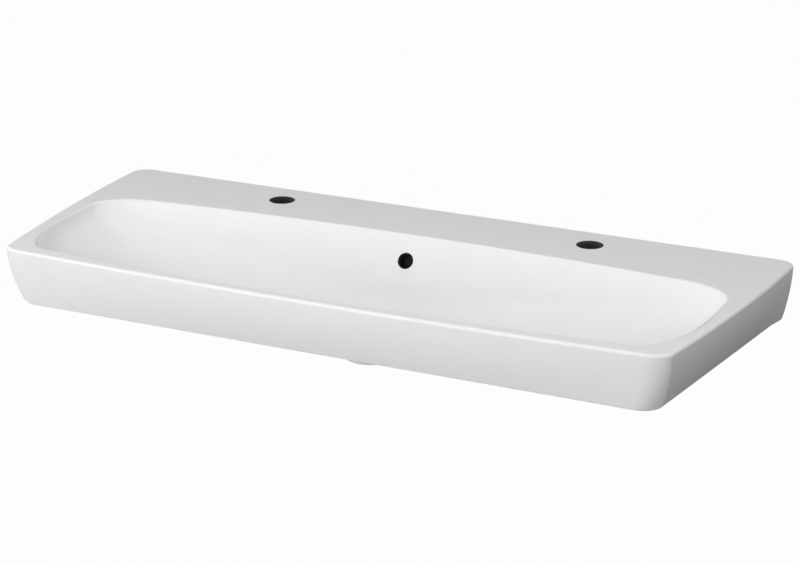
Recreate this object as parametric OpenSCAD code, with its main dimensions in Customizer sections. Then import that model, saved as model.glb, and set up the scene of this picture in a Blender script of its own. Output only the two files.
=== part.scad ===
// Wall-hung double washbasin: one long trough of glazed china with a flat tap deck, two tap holes,
// an overflow hole with its own water channel, a click waste in the outlet and bushes in the
// two wall-fixing holes.
// X runs along the wall, Y points at the wall, whose face is the plane Y = 0, and Z is up.
// The origin is on the wall, midway between the two wall-fixing holes.

/* [Body] */
// Width along the wall
body_w = 1200; // [1100:10:1300]
// Depth from the wall to the middle of the front edge
body_d = 504.5; // [490:0.5:520]
// Height of the outer sides
body_h = 92.5; // [88:0.5:102]
// How far the front slants in from its top edge to its foot
front_lean = 26; // [20:1:33]
// How far each side slants in at the wall
side_lean = 13.5; // [10:0.5:20]
// How far the sides curve in at the top by the front edge
side_bow = 48.5; // [30:0.5:56]
// How far the sides run in at the foot by the front edge
side_taper = 54.5; // [36:0.5:60]
// How far the top's front edge curves back at its ends
front_bow = 17; // [8:1:20]
// Power of the curve that the sides follow at the top, from the wall to the front
side_curve = 1.75; // [1.4:0.05:2.2]
// Power of the curve by which the sides and the front lean in towards the foot
apron_curve = 1.85; // [1.3:0.05:2.2]
// Length of the front corners' rounding along the front, at the top
top_corner_w = 34; // [24:1:48]
// Length of the front corners' rounding along the sides, at the top
top_corner_d = 19; // [14:0.5:30]
// Length of the front corners' rounding along the front, at the foot
foot_corner_w = 30; // [22:0.5:40]
// Length of the front corners' rounding along the sides, at the foot
foot_corner_d = 28; // [20:0.5:34]
// Radius of the corners at the wall
rear_corner_r = 25; // [16:0.5:28]
// Rounding of the top outer edge
edge_r = 5; // [3:0.5:6]
// Rounding of the foot's edge
foot_r = 3; // [1:0.5:4]

/* [Bowl] */
// Depth of the tap deck, from the wall to the bowl
tap_deck = 144.5; // [138:0.5:156]
// Width of the rim at each end
end_rim = 44.5; // [38:0.5:50]
// Width of the rim at the middle of the front
front_rim = 20; // [17:1:26]
// How far the bowl's front edge curves back at its ends
rim_bow = 29; // [20:1:34]
// How far the bowl's rear edge curves forward at its ends
rear_bow = 32; // [24:1:38]
// Depth of the bowl at its drain
bowl_depth = 106; // [102:1:108]
// Lean of the bowl's rear wall, across for each 1 down
rear_slope = 0.53; // [0.45:0.01:0.58]
// Lean of the bowl's front wall, across for each 1 down
front_slope = 0.55; // [0.5:0.01:0.6]
// How far the foot of the rear wall curves out into the floor
rear_sweep = 20; // [12:1:26]
// How far the foot of the front wall curves out into the floor
front_sweep = 60; // [45:1:70]
// Rounding of the bowl's rim
rim_r = 7; // [5:0.5:8]
// Distance of the drain from the wall
drain_y = 295; // [284:1:302]

/* [China] */
// Thickness of the tap deck
deck_t = 14; // [13:0.5:18]
// Thickness of the wall against the building
rear_t = 14; // [12:0.5:18]
// Thickness of the outer sides
apron_t = 12; // [10:0.5:14]
// Thickness of the bowl's walls, measured across
bowl_t = 9; // [8:0.5:10]
// Thickness of the bowl's floor
floor_t = 11; // [10:0.5:13]
// Depth of the solid strip under the front rim
front_solid = 56; // [50:1:62]

/* [Tap holes] */
// Diameter of each tap hole
tap_hole_d = 35; // [33:0.5:37]
// Distance between the tap holes
tap_gap = 557; // [500:1:620]
// Distance of the tap holes from the wall
tap_y = 65.5; // [58:0.5:72]
// Rounding of the tap holes' upper edge
tap_edge_r = 2.5; // [1:0.5:3.5]
// Thickness of china left around each tap hole
tap_seat_t = 9; // [8:0.5:11]
// Radius of the thinned seat under each tap hole
tap_seat_r = 32; // [28:0.5:36]

/* [Overflow] */
// Diameter of the overflow hole
overflow_d = 24; // [20:0.5:26]
// Depth of the overflow hole below the rim
overflow_drop = 38; // [36:1:44]
// Width of the overflow channel
channel_w = 30; // [28:1:36]
// Depth of the overflow channel
channel_t = 10; // [9:0.5:12]
// Thickness of the channel's outer skin
channel_skin = 7; // [6:0.5:8]

/* [Outlet] */
// Radius of the ring round the outlet
outlet_r = 41; // [40:0.5:46]
// Depth of the outlet ring's foot below the rim
outlet_drop = 158; // [156:0.5:164]
// Diameter of the outlet's bore
outlet_bore_d = 45; // [44:0.5:47]
// Radius of the recess for the lock nut
nut_pocket_r = 35; // [33.5:0.5:36]
// Depth of the recess for the lock nut
nut_pocket_h = 26; // [24:0.5:27]
// Radius of the recess for the waste's flange
flange_seat_r = 34; // [33.5:0.5:36]

/* [Wall fixing] */
// Distance between the wall-fixing holes
fixing_gap = 880; // [800:10:920]
// Depth of the wall-fixing holes below the rim
fixing_drop = 45; // [42:1:50]
// Diameter of each wall-fixing hole
fixing_hole_d = 28; // [26:0.5:32]
// Radius of the thick pad round each wall-fixing hole
fixing_pad_r = 28; // [26:1:30]
// Thickness that the pad adds to the wall
fixing_pad_t = 10; // [6:1:14]
// Diameter of the stud's hole in each bush
stud_hole_d = 12; // [10:0.5:14]
// Radius of each bush's collar
bush_collar_r = 20; // [18:0.5:24]
// Thickness of each bush's collar
bush_collar_t = 4; // [3:0.5:6]

/* [Waste] */
// Outer diameter of the waste's threaded tail
tail_d = 41.9; // [41.5:0.1:42.1]
// Width of the groove between the lock nut's thread and the trap's
tail_groove_w = 1; // [0.5:0.25:1.5]
// Bore of the waste
waste_bore_d = 37; // [36:0.5:38]
// Radius of the waste's flange
flange_r = 33; // [32:0.25:33.25]
// Thickness of the waste's flange
flange_t = 2; // [1.5:0.25:2.5]
// Thickness of the seal under the flange
flange_seal_t = 1.5; // [1:0.25:2]
// Height of the tail's end above the outlet ring's foot
tail_short = 1.5; // [1:0.5:3]
// Width of the waste's overflow windows
window_w = 20; // [16:1:22]
// Thickness of the lower seal's flange
lower_seal_t = 4; // [3:0.5:5]
// Height of the lower seal's cone in the bore
seal_cone_h = 5; // [4:0.5:6]
// Radius of the lower seal
lower_seal_r = 30; // [28:0.5:32]
// Thickness of the slip washer
washer_t = 1.5; // [1:0.25:2]
// Width of the lock nut across its flats
lock_nut_af = 50; // [48:0.5:54]
// Height of the lock nut
lock_nut_h = 8; // [7:0.5:9]

/* [Click plug] */
// Travel of the plug from open to closed
plug_travel = 8; // [6:0.5:8.5]
// Radius of the plug's cap
cap_r = 31; // [29:0.5:33]
// Height of the cap's dome
cap_h = 5; // [4:0.5:7]
// Radius of the plug's seal
plug_seal_r = 23; // [22:0.5:26]
// Thickness of the plug's seal
plug_seal_t = 2.5; // [2:0.5:3]
// Diameter of the plug's stem
stem_d = 8; // [6:0.5:8]
// Outer diameter of the click sleeve
sleeve_d = 18; // [17.5:0.5:19]
// Bore of the click sleeve
sleeve_bore_d = 14; // [13.5:0.25:14.5]
// Length of the click sleeve
sleeve_l = 34; // [33:0.5:36]
// Depth of the sleeve's top below the top of the flange
sleeve_drop = 6; // [5:0.5:7]
// Length of the plunger
plunger_l = 17; // [16:0.5:18]
// Height of the cam ring
cam_h = 5; // [4:0.5:6]
// Diameter of the spring
spring_d = 11.5; // [10:0.5:12]
// Thickness of the spring's wire
spring_wire = 1.2; // [1:0.1:1.4]
// Thickness of the sleeve's end cap
end_cap_t = 2.5; // [2:0.5:3]

/* [Fits] */
// Gap between pieces that slide or turn in each other
running_gap = 0.08; // [0.04:0.01:0.1]
// Gap between pieces that are pushed together by hand
push_gap = 0.05; // [0.02:0.01:0.1]

/* [Hidden] */

$fn = 64;
half_w = body_w / 2;
bowl_half_w = half_w - end_rim;
bowl_front = body_d - front_rim;
// The pieces are drawn with the rim at height 0, and then set so that the wall fixings are at 0.
rim_z = fixing_drop;
// Smallest overlap that lets a cut run clear of the face that it opens.
past = 1;

// Columns of the china's surface on each half, from the middle of the wall to the middle of the front.
// The bowl's outline is the rear's curve, then arc, then straight, then arc, then the front's curve.
rear_columns = 6;
arc_columns = 9;
side_columns = 4;
corner_columns = 9;
front_columns = 8;
rear_end = rear_columns;
arc_end = rear_end + arc_columns;
side_end = arc_end + side_columns;
corner_end = side_end + corner_columns;
half_n = corner_end + front_columns;
// The outer outline turns its corner at the wall with a few of the bowl arc's columns.
wall_columns = 11;
wall_corner_columns = 3;
wall_end = wall_columns;
wall_corner_end = wall_end + wall_corner_columns;

// Share of the bowl's depth where its walls end and the floor begins, and where they start to curve.
floor_share = 0.93;
sweep_share = 0.65;
wall_rings = 11;
floor_rings = 3;
edge_rings = 3;
side_rings = 7;
inner_rings = 3;
belly_rings = 9;
// Least rounding of the outline's front corners when it is drawn in.
least_corner = 4;
// Radius of the flat round the drain, above and below the floor.
drain_flat_extra = 4;
belly_flat_extra = 12;
drain_flat_r = flange_seat_r + drain_flat_extra;
belly_flat_r = outlet_r + belly_flat_extra;

function mix(a, b, t) = a + (b - a) * t;
function ease(t) = t <= 0 ? 0 : t >= 1 ? 1 : t * t * (3 - 2 * t);

// A corner that leaves one edge at a and joins the other at b, where the edges would meet at k.
function corner(k, a, b, t) = k + (a - k) * (1 - sin(90 * t)) + (b - k) * (1 - cos(90 * t));

// The outer sides lean in by a share that grows with the depth, slowly at first.
function lean(z) = pow(min(1, -z / body_h), apron_curve);
function side_x(y, g) =
    let (share = -y / body_d)
        half_w - side_lean * g - mix(side_bow * pow(share, side_curve), side_taper * share, g);
function front_y(x, g) = front_lean * g + front_bow * (1 - g) * pow(x / half_w, 2) - body_d;

// A point of the outer outline at lean g, drawn in by n, and by rear_n at the wall.
function outer_point(h, g, n, rear_n) =
    let (
        k1 = [side_x(front_y(half_w, g), g) - n, front_y(half_w, g) + n],
        k = [k1[0], front_y(k1[0], g) + n],
        w = max(mix(top_corner_w, foot_corner_w, g) - n, least_corner),
        d = max(mix(top_corner_d, foot_corner_d, g) - n, least_corner),
        s = [side_x(k[1] + d, g) - n, k[1] + d],
        f = [k[0] - w, front_y(k[0] - w, g) + n],
        rear = [side_x(-rear_n, g) - n, -rear_n],
        rear_a = rear - [rear_corner_r, 0],
        rear_b = rear - [0, rear_corner_r]
    )
    h <= wall_end ? [rear_a[0] * h / wall_end, -rear_n] :
    h <= wall_corner_end ? corner(rear, rear_a, rear_b, (h - wall_end) / (wall_corner_end - wall_end)) :
    h <= side_end ?
        let (y = mix(rear_b[1], s[1], (h - wall_corner_end) / (side_end - wall_corner_end)))
            [side_x(y, g) - n, y] :
    h <= corner_end ? corner(k, s, f, (h - side_end) / (corner_end - side_end)) :
    let (x = mix(f[0], 0, (h - corner_end) / (half_n - corner_end))) [x, front_y(x, g) + n];

// How far the foot of a bowl wall has swept out at share k of the depth.
function sweep(k) = k <= sweep_share ? 0 : 1 - sqrt(1 - pow((k - sweep_share) / (1 - sweep_share), 2));

// Shares of the bowl's half width and of its depth from front to back that the corners take.
rear_share = [0.15, 0.19];
front_share = [0.12, 0.54];
low_share = [0.82, 0.46];
// Share of the depth where the corners start to grow to the low ones, and the share it takes.
round_from = 0.3;
round_over = 0.55;

// A point of the bowl's outline at share k of its depth, drawn out by n.
function bowl_point(h, k, n) =
    let (
        low = ease((k - round_from) / round_over),
        w = bowl_half_w * sqrt(1 - k * k) + n,
        rear = n - (tap_deck + rear_slope * k * bowl_depth + rear_sweep * sweep(k)),
        front = -n - (bowl_front - front_slope * k * bowl_depth - front_sweep * sweep(k)),
        bow = rim_bow * (1 - k),
        rear_curve = rear_bow * (1 - k),
        span = rear - front - bow - rear_curve,
        rear_cx = w * mix(rear_share[0], low_share[0], low),
        rear_cy = span * mix(rear_share[1], low_share[1], low),
        front_cx = w * mix(front_share[0], low_share[0], low),
        front_cy = span * mix(front_share[1], low_share[1], low),
        k_r = [w, rear - rear_curve],
        r = [w - rear_cx, rear - rear_curve * pow(1 - rear_cx / w, 2)],
        k_f = [w, front + bow],
        f = [w - front_cx, front + bow * pow(1 - front_cx / w, 2)]
    )
    h <= rear_end ? let (x = r[0] * h / rear_end) [x, rear - rear_curve * pow(x / w, 2)] :
    h <= arc_end ? corner(k_r, r, k_r - [0, rear_cy], (h - rear_end) / (arc_end - rear_end)) :
    h <= side_end ? [w, mix(k_r[1] - rear_cy, k_f[1] + front_cy, (h - arc_end) / (side_end - arc_end))] :
    h <= corner_end ? corner(k_f, k_f + [0, front_cy], f, (h - side_end) / (corner_end - side_end)) :
    let (x = mix(f[0], 0, (h - corner_end) / (half_n - corner_end))) [x, front + bow * pow(x / w, 2)];

// A point of the flat circle round the drain.
function drain_point(h, r) = [r * sin(180 * h / half_n), r * cos(180 * h / half_n) - drain_y];

// Closes half a ring of points by its mirror image.
function ring(half) = concat(half, [for (h = [half_n - 1:-1:1]) [-half[h][0], half[h][1], half[h][2]]]);
function at_height(p, z) = [p[0], p[1], z];

// The bowl: the flat round the drain, the floor, the walls and the rounded rim.
function floor_ring(t) = ring([
    for (h = [0:half_n])
        at_height(
            mix(bowl_point(h, floor_share, 0), drain_point(h, drain_flat_r), t),
            -bowl_depth * mix(floor_share, 1, 1 - pow(1 - t, 2))
        )
]);
function wall_ring(k) = ring([for (h = [0:half_n]) at_height(bowl_point(h, k, 0), -k * bowl_depth)]);
function rim_ring(a) = ring([
    for (h = [0:half_n])
        at_height(bowl_point(h, rim_r / bowl_depth, rim_r * (1 - cos(a))), -rim_r * (1 - sin(a)))
]);

// The outside: the rounded top edge, the leaning sides and the rounded foot.
function edge_ring(a) = ring([
    for (h = [0:half_n])
        let (n = edge_r * (1 - sin(a))) at_height(outer_point(h, 0, n, n), -edge_r * (1 - cos(a)))
]);
function side_ring(z) = ring([for (h = [0:half_n]) at_height(outer_point(h, lean(z), 0, 0), z)]);
function foot_ring(a) = ring([
    for (h = [0:half_n])
        let (n = foot_r * (1 - cos(a))) at_height(outer_point(h, 1, n, n), foot_r * (1 - sin(a)) - body_h)
]);

// Under the rim an open space runs between the outer sides and the bowl. Its roof is the tap deck
// at the wall and the sides, and comes down to the solid strip along the front.
function roof_z(h) = -mix(deck_t, front_solid, ease((h - side_end + 1) / (corner_columns + 1)));
function inner_ring(t) = ring([
    for (h = [0:half_n])
        let (z = mix(-body_h, roof_z(h), t)) at_height(outer_point(h, lean(z), apron_t, rear_t), z)
]);
function belly_ring(t) = ring([
    for (h = [0:half_n])
        let (k = mix((-roof_z(h) - floor_t) / bowl_depth, floor_share, t))
            at_height(bowl_point(h, k, bowl_t), -k * bowl_depth - floor_t)
]);
function belly_floor_ring(t) = ring([
    for (h = [0:half_n])
        at_height(
            mix(bowl_point(h, floor_share, bowl_t), drain_point(h, belly_flat_r), t),
            -bowl_depth * mix(floor_share, 1, 1 - pow(1 - t, 2)) - floor_t
        )
]);

china_rings = concat(
    [for (i = [floor_rings:-1:1]) floor_ring(i / floor_rings)],
    [for (i = [wall_rings:-1:1]) wall_ring(mix(rim_r / bowl_depth, floor_share, i / wall_rings))],
    [for (i = [0:edge_rings]) rim_ring(90 * i / edge_rings)],
    [for (i = [0:edge_rings]) edge_ring(90 * i / edge_rings)],
    [for (i = [1:side_rings]) side_ring(mix(-edge_r, foot_r - body_h, i / side_rings))],
    [for (i = [1:edge_rings]) foot_ring(90 * i / edge_rings)],
    [for (i = [0:inner_rings]) inner_ring(i / inner_rings)],
    [for (i = [0:belly_rings]) belly_ring(i / belly_rings)],
    [for (i = [1:floor_rings]) belly_floor_ring(i / floor_rings)]
);

module china_shell() {
    n = 2 * half_n;
    last = len(china_rings) - 1;
    polyhedron(
        points = [for (r = china_rings) each r],
        faces = concat(
            [[for (i = [0:n - 1]) i]],
            [
                for (j = [0:last - 1]) for (i = [0:n - 1])
                    [j * n + i, (j + 1) * n + i, (j + 1) * n + (i + 1) % n]
            ],
            [
                for (j = [0:last - 1]) for (i = [0:n - 1])
                    [j * n + i, (j + 1) * n + (i + 1) % n, j * n + (i + 1) % n]
            ],
            [[for (i = [n - 1:-1:0]) last * n + i]]
        )
    );
}

// Drawn at the rim's height, then lowered to the wall fixings.
module placed() translate([0, 0, rim_z]) children();
module on_drain(z) translate([0, -drain_y, rim_z + z]) children();
module both_sides(x) for (s = [-1, 1]) translate([s * x, 0, 0]) children();
module on_wall_fixings() both_sides(fixing_gap / 2) rotate([90, 0, 0]) children();
module ring_of(outer, inner, h) difference() {
    cylinder(r = outer, h = h);
    translate([0, 0, -past]) cylinder(r = inner, h = h + 2 * past);
}

// Heights in the outlet, all measured down from the rim.
flange_seat_z = -bowl_depth - flange_t - flange_seal_t;
tail_z = tail_short - outlet_drop;
nut_roof_z = nut_pocket_h - outlet_drop;
channel_roof_z = flange_seat_z - channel_skin;
channel_floor_z = channel_roof_z - channel_t + past;
nut_top_z = nut_roof_z - lower_seal_t - washer_t;
tail_groove_depth = 0.8;
tail_r = tail_d / 2;
waste_bore_r = waste_bore_d / 2;
outlet_bore_r = outlet_bore_d / 2;

// The overflow channel runs down behind the bowl's rear wall, then forward to the outlet's bore.
// Its two walls turn forward at these distances behind the bore.
near_turn = 16;
far_turn = 24;
turn_skin = 4;
// The bowl's wall is this much thicker in front of the channel.
channel_inset = 1;
wall_tilt = atan(rear_slope);
function behind_wall(z, n) = [n / cos(wall_tilt) - tap_deck + rear_slope * z, z];
channel_top_z = -overflow_drop + overflow_d / 2;
channel_turn_z = -bowl_depth * floor_share;

module channel_space() {
    near = bowl_t + channel_inset;
    far = near + channel_t;
    rotate([90, 0, 90])
        translate([0, 0, -channel_w / 2])
            linear_extrude(height = channel_w)
                polygon([
                    behind_wall(channel_top_z, near),
                    behind_wall(channel_turn_z, near),
                    [outlet_bore_r + near_turn - drain_y, channel_roof_z],
                    [outlet_bore_r / 2 - drain_y, channel_roof_z],
                    [outlet_bore_r / 2 - drain_y, channel_floor_z],
                    [outlet_bore_r + far_turn - drain_y, channel_floor_z],
                    behind_wall(channel_turn_z, far),
                    behind_wall(channel_top_z, far)
                ]);
}

module channel_rib() {
    near = bowl_t / 2;
    far = bowl_t + channel_inset + channel_t + channel_skin;
    w = channel_w + 2 * channel_skin;
    inside = outlet_r / 2 - drain_y;
    rotate([90, 0, 90])
        translate([0, 0, -w / 2])
            linear_extrude(height = w)
                polygon([
                    behind_wall(-deck_t / 2, near),
                    behind_wall(channel_turn_z, near),
                    [outlet_bore_r + near_turn - turn_skin - drain_y, -bowl_depth - floor_t / 2],
                    [inside, -bowl_depth - floor_t / 2],
                    [inside, channel_floor_z - channel_skin],
                    [outlet_bore_r + far_turn + turn_skin - drain_y, channel_floor_z - channel_skin],
                    behind_wall(channel_turn_z, far),
                    behind_wall(-deck_t / 2, far)
                ]);
}

// The ring that stands round the outlet, flared where it joins the bowl's floor.
module outlet_ring() {
    foot_round = 3;
    flare = 8;
    root = -bowl_depth - floor_t;
    on_drain(0) rotate_extrude() polygon(concat(
        [[0, -outlet_drop], [outlet_r - foot_round, -outlet_drop]],
        [
            for (a = [30:30:90])
                [outlet_r - foot_round * (1 - sin(a)), foot_round * (1 - cos(a)) - outlet_drop]
        ],
        [for (a = [0:22.5:90]) [outlet_r + flare * (1 - cos(a)), root - flare * (1 - sin(a))]],
        [[outlet_r + flare, root + floor_t / 2], [0, root + floor_t / 2]]
    ));
}

module tap_hole() {
    r = tap_hole_d / 2;
    on_top = [for (a = [0:22.5:90]) [r + tap_edge_r * (1 - cos(a)), -tap_edge_r * (1 - sin(a))]];
    rotate_extrude() polygon(concat(
        [[0, past], [r + tap_edge_r, past]],
        [for (i = [len(on_top) - 1:-1:0]) on_top[i]],
        [[r, -deck_t - past], [0, -deck_t - past]]
    ));
    translate([0, 0, -deck_t - past]) cylinder(r = tap_seat_r, h = deck_t - tap_seat_t + past);
}

module overflow_hole() {
    translate([0, -tap_deck - rear_slope * overflow_drop, -overflow_drop])
        rotate([-90 - wall_tilt, 0, 0])
            translate([0, 0, -2 * past])
                cylinder(d = overflow_d, h = bowl_t + channel_t / 2 + 2 * past);
}

module basin() color("whitesmoke") difference() {
    union() {
        placed() {
            china_shell();
            channel_rib();
        }
        outlet_ring();
        on_wall_fixings()
            translate([0, 0, rear_t / 2])
                cylinder(r = fixing_pad_r, h = rear_t / 2 + fixing_pad_t);
    }
    placed() both_sides(tap_gap / 2) translate([0, -tap_y, 0]) tap_hole();
    placed() overflow_hole();
    placed() channel_space();
    on_wall_fixings()
        translate([0, 0, -past])
            cylinder(d = fixing_hole_d, h = rear_t + fixing_pad_t + 2 * past);
    on_drain(-outlet_drop - past) cylinder(r = outlet_bore_r, h = outlet_drop);
    on_drain(flange_seat_z) cylinder(r = flange_seat_r, h = bowl_depth);
    on_drain(-outlet_drop - past) cylinder(r = nut_pocket_r, h = nut_pocket_h + past);
}

// Each bush's body fills the hole in the china, and its collar rests on the pad.
module wall_bushes() color("dimgray") {
    wall = rear_t + fixing_pad_t;
    on_wall_fixings() difference() {
        union() {
            cylinder(r = fixing_hole_d / 2 - push_gap, h = wall);
            translate([0, 0, wall]) cylinder(r = bush_collar_r, h = bush_collar_t);
        }
        translate([0, 0, -past]) cylinder(d = stud_hole_d, h = wall + bush_collar_t + 2 * past);
    }
}

// The waste's tube hangs from its flange. Windows let the overflow's water in, and a spider with
// four legs holds the click sleeve in the middle.
spider_h = 7;
spider_leg_w = 3;
spider_leg_h = 5;
spider_hub_t = 2.5;
spider_hub_r = sleeve_d / 2 + spider_hub_t;
spider_below = 2;
spider_z = channel_floor_z - spider_h - spider_below;
window_z = channel_floor_z + past;
module waste_body() color("silver") {
    seat_cone = 2;
    difference() {
        union() {
            on_drain(-bowl_depth - flange_t) cylinder(r = flange_r, h = flange_t);
            on_drain(tail_z) cylinder(r = tail_r, h = -bowl_depth - tail_z);
        }
        on_drain(tail_z - past) cylinder(r = waste_bore_r, h = outlet_drop);
        on_drain(nut_top_z - lock_nut_h - tail_groove_w)
            ring_of(tail_r + past, tail_r - tail_groove_depth, tail_groove_w);
        on_drain(-bowl_depth - seat_cone)
            cylinder(r1 = waste_bore_r, r2 = waste_bore_r + seat_cone + past, h = seat_cone + past);
        on_drain(window_z) for (a = [0, 90])
            rotate([0, 0, a])
                translate([-tail_d, -window_w / 2, 0])
                    cube([2 * tail_d, window_w, channel_roof_z - window_z]);
    }
    on_drain(spider_z) difference() {
        union() {
            cylinder(r = spider_hub_r, h = spider_h);
            for (a = [45, 135])
                rotate([0, 0, a])
                    translate([-waste_bore_r - past, -spider_leg_w / 2, (spider_h - spider_leg_h) / 2])
                        cube([2 * (waste_bore_r + past), spider_leg_w, spider_leg_h]);
        }
        translate([0, 0, -past]) cylinder(r = sleeve_d / 2 + push_gap, h = spider_h + 2 * past);
    }
}

flange_seal_inset = 1;
module flange_seal() color("dimgray")
    on_drain(flange_seat_z) ring_of(flange_r, outlet_bore_r + flange_seal_inset, flange_seal_t);

// The lower seal's cone fills the gap between the waste and the outlet's bore, up to a thin lip.
seal_lip_t = 0.6;
module lower_seal() color("dimgray") on_drain(nut_roof_z - lower_seal_t) rotate_extrude() polygon([
    [tail_r + push_gap, 0],
    [lower_seal_r, 0],
    [lower_seal_r, lower_seal_t],
    [outlet_bore_r - push_gap, lower_seal_t],
    [tail_r + push_gap + seal_lip_t, lower_seal_t + seal_cone_h],
    [tail_r + push_gap, lower_seal_t + seal_cone_h]
]);

washer_inset = 1;
module slip_washer() color("white")
    on_drain(nut_top_z) ring_of(lower_seal_r - washer_inset, tail_r + push_gap, washer_t);

module lock_nut() color("goldenrod") on_drain(nut_top_z - lock_nut_h) difference() {
    cylinder(d = lock_nut_af / cos(30), h = lock_nut_h, $fn = 6);
    translate([0, 0, -past]) cylinder(r = tail_r + push_gap, h = lock_nut_h + 2 * past);
}

// Heights of the click unit at rest, with the plug up.
sleeve_top_z = -bowl_depth - sleeve_drop;
sleeve_foot_z = sleeve_top_z - sleeve_l;
plunger_top_z = sleeve_top_z + plug_travel;
plunger_foot_z = plunger_top_z - plunger_l;
cam_foot_z = plunger_foot_z - cam_h;
slide_r = sleeve_bore_d / 2 - running_gap;

// A plain sleeve with a collar that rests on the spider's hub.
module click_sleeve() color("white") {
    collar_h = 3;
    collar_z = spider_z + spider_h;
    on_drain(sleeve_foot_z) ring_of(sleeve_d / 2, sleeve_bore_d / 2, sleeve_l);
    on_drain(collar_z) ring_of(spider_hub_r, sleeve_bore_d / 2, collar_h);
}

// The end cap closes the sleeve's foot, and its spigot centres the spring.
module sleeve_end_cap() color("white") {
    spigot_r = spring_d / 2 - spring_wire - running_gap;
    spigot_h = 2;
    on_drain(sleeve_foot_z) cylinder(r = sleeve_bore_d / 2 - push_gap, h = end_cap_t);
    on_drain(sleeve_foot_z + end_cap_t) cylinder(r = spigot_r, h = spigot_h);
}

// The spring, drawn as the plain tube that its coils fill.
module click_spring() color("silver")
    on_drain(sleeve_foot_z + end_cap_t)
        ring_of(spring_d / 2, spring_d / 2 - spring_wire, cam_foot_z - sleeve_foot_z - end_cap_t);

// The cam ring turns an eighth of a turn at each push. Slots in its rim let water through.
module cam_ring() color("khaki") {
    slots = 8;
    slot_w = 1.6;
    slot_depth = 1.2;
    on_drain(cam_foot_z) difference() {
        cylinder(r = slide_r, h = cam_h);
        for (a = [0:360 / slots:359])
            rotate([0, 0, a])
                translate([slide_r - slot_depth, -slot_w / 2, -past])
                    cube([slot_depth + past, slot_w, cam_h + 2 * past]);
    }
}

// The plunger is drilled for the stem's lower end.
stem_grip = 9;
module plunger() color("khaki") on_drain(plunger_foot_z) difference() {
    cylinder(r = slide_r, h = plunger_l);
    translate([0, 0, plunger_l - stem_grip]) cylinder(r = stem_d / 2 + push_gap, h = stem_grip + past);
}

// Heights of the plug at rest.
stem_nut_h = 4;
stem_nut_af = 11;
closed_gap = 0.2;
cap_over_stem = 2;
plug_seal_z = plug_travel + closed_gap - bowl_depth;
cap_z = plug_seal_z + plug_seal_t;
stem_top_z = cap_z + cap_h - cap_over_stem;
module stem_lock_nut() color("goldenrod") on_drain(plunger_top_z) difference() {
    cylinder(d = stem_nut_af / cos(30), h = stem_nut_h, $fn = 6);
    translate([0, 0, -past]) cylinder(r = stem_d / 2 + push_gap, h = stem_nut_h + 2 * past);
}

module plug_stem() color("goldenrod") {
    foot = plunger_top_z - stem_grip;
    on_drain(foot) cylinder(d = stem_d, h = stem_top_z - foot);
}

module plug_seal() color("dimgray")
    on_drain(plug_seal_z) ring_of(plug_seal_r, stem_d / 2 + push_gap, plug_seal_t);

// A shallow dome, solid but for the hole that the stem screws into.
module plug_cap() color("silver") {
    cap_edge_t = 1;
    rise = cap_h - cap_edge_t;
    dome_r = (cap_r * cap_r + rise * rise) / (2 * rise);
    edge = asin(cap_r / dome_r);
    on_drain(cap_z) difference() {
        rotate_extrude() polygon(concat(
            [[0, 0], [cap_r, 0]],
            [for (i = [8:-1:0]) let (a = edge * i / 8) [dome_r * sin(a), cap_h - dome_r * (1 - cos(a))]]
        ));
        translate([0, 0, -past]) cylinder(r = stem_d / 2 + push_gap, h = stem_top_z - cap_z + past);
    }
}

basin();
wall_bushes();
waste_body();
flange_seal();
lower_seal();
slip_washer();
lock_nut();
click_sleeve();
sleeve_end_cap();
click_spring();
cam_ring();
plunger();
stem_lock_nut();
plug_stem();
plug_seal();
plug_cap();
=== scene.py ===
"""Wall-hung double washbasin: glazed china with a push-open waste, set out in a pale studio.

Sizes are in millimetres and are turned to metres as the meshes are placed. Heights are measured
from the rim, as on a drawing of the basin, and RIM_Z lifts them to the height of the frame.
"""

import logging
import math
from collections.abc import Callable, Sequence
from dataclasses import dataclass, field
from enum import Enum

import bmesh
import bpy
from mathutils import Euler, Matrix, Vector


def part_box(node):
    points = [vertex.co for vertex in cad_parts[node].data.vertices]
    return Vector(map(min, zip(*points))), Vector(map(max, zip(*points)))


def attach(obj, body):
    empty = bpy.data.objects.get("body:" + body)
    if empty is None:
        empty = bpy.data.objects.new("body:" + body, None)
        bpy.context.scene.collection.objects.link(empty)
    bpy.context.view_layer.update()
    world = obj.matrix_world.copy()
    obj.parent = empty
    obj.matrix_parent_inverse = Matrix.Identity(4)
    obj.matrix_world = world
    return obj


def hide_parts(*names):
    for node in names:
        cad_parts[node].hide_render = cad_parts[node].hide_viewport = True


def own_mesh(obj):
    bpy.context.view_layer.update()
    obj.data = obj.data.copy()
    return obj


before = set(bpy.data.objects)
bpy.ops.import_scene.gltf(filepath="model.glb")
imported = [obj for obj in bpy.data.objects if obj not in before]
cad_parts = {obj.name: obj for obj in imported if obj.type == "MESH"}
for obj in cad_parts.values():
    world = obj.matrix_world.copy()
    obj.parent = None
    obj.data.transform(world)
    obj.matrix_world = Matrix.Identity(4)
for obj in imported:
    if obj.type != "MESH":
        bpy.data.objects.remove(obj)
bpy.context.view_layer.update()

MM = 0.001
LOG = logging.getLogger("washbasin")

Point = tuple[float, float, float]
Ring = list[Point]
Profile = list[tuple[float, float]]
# Two coordinates of each corner, and its rounding.
Corners = Sequence[tuple[float, float, float]]
Piece = bpy.types.Object
Material = bpy.types.Material
Node = bpy.types.Node
Tree = bpy.types.NodeTree
Socket = bpy.types.NodeSocket

BASIN_LOW, BASIN_HIGH = (tuple(c / MM for c in corner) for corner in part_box("basin"))
RIM_Z = BASIN_HIGH[2]
WASTE_LOW, WASTE_HIGH = (tuple(c / MM for c in corner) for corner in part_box("waste_body"))
DRAIN_Y = (WASTE_LOW[1] + WASTE_HIGH[1]) / 2
AWAY_FROM_WALL = Matrix.Rotation(math.pi / 2, 3, "X")


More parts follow.
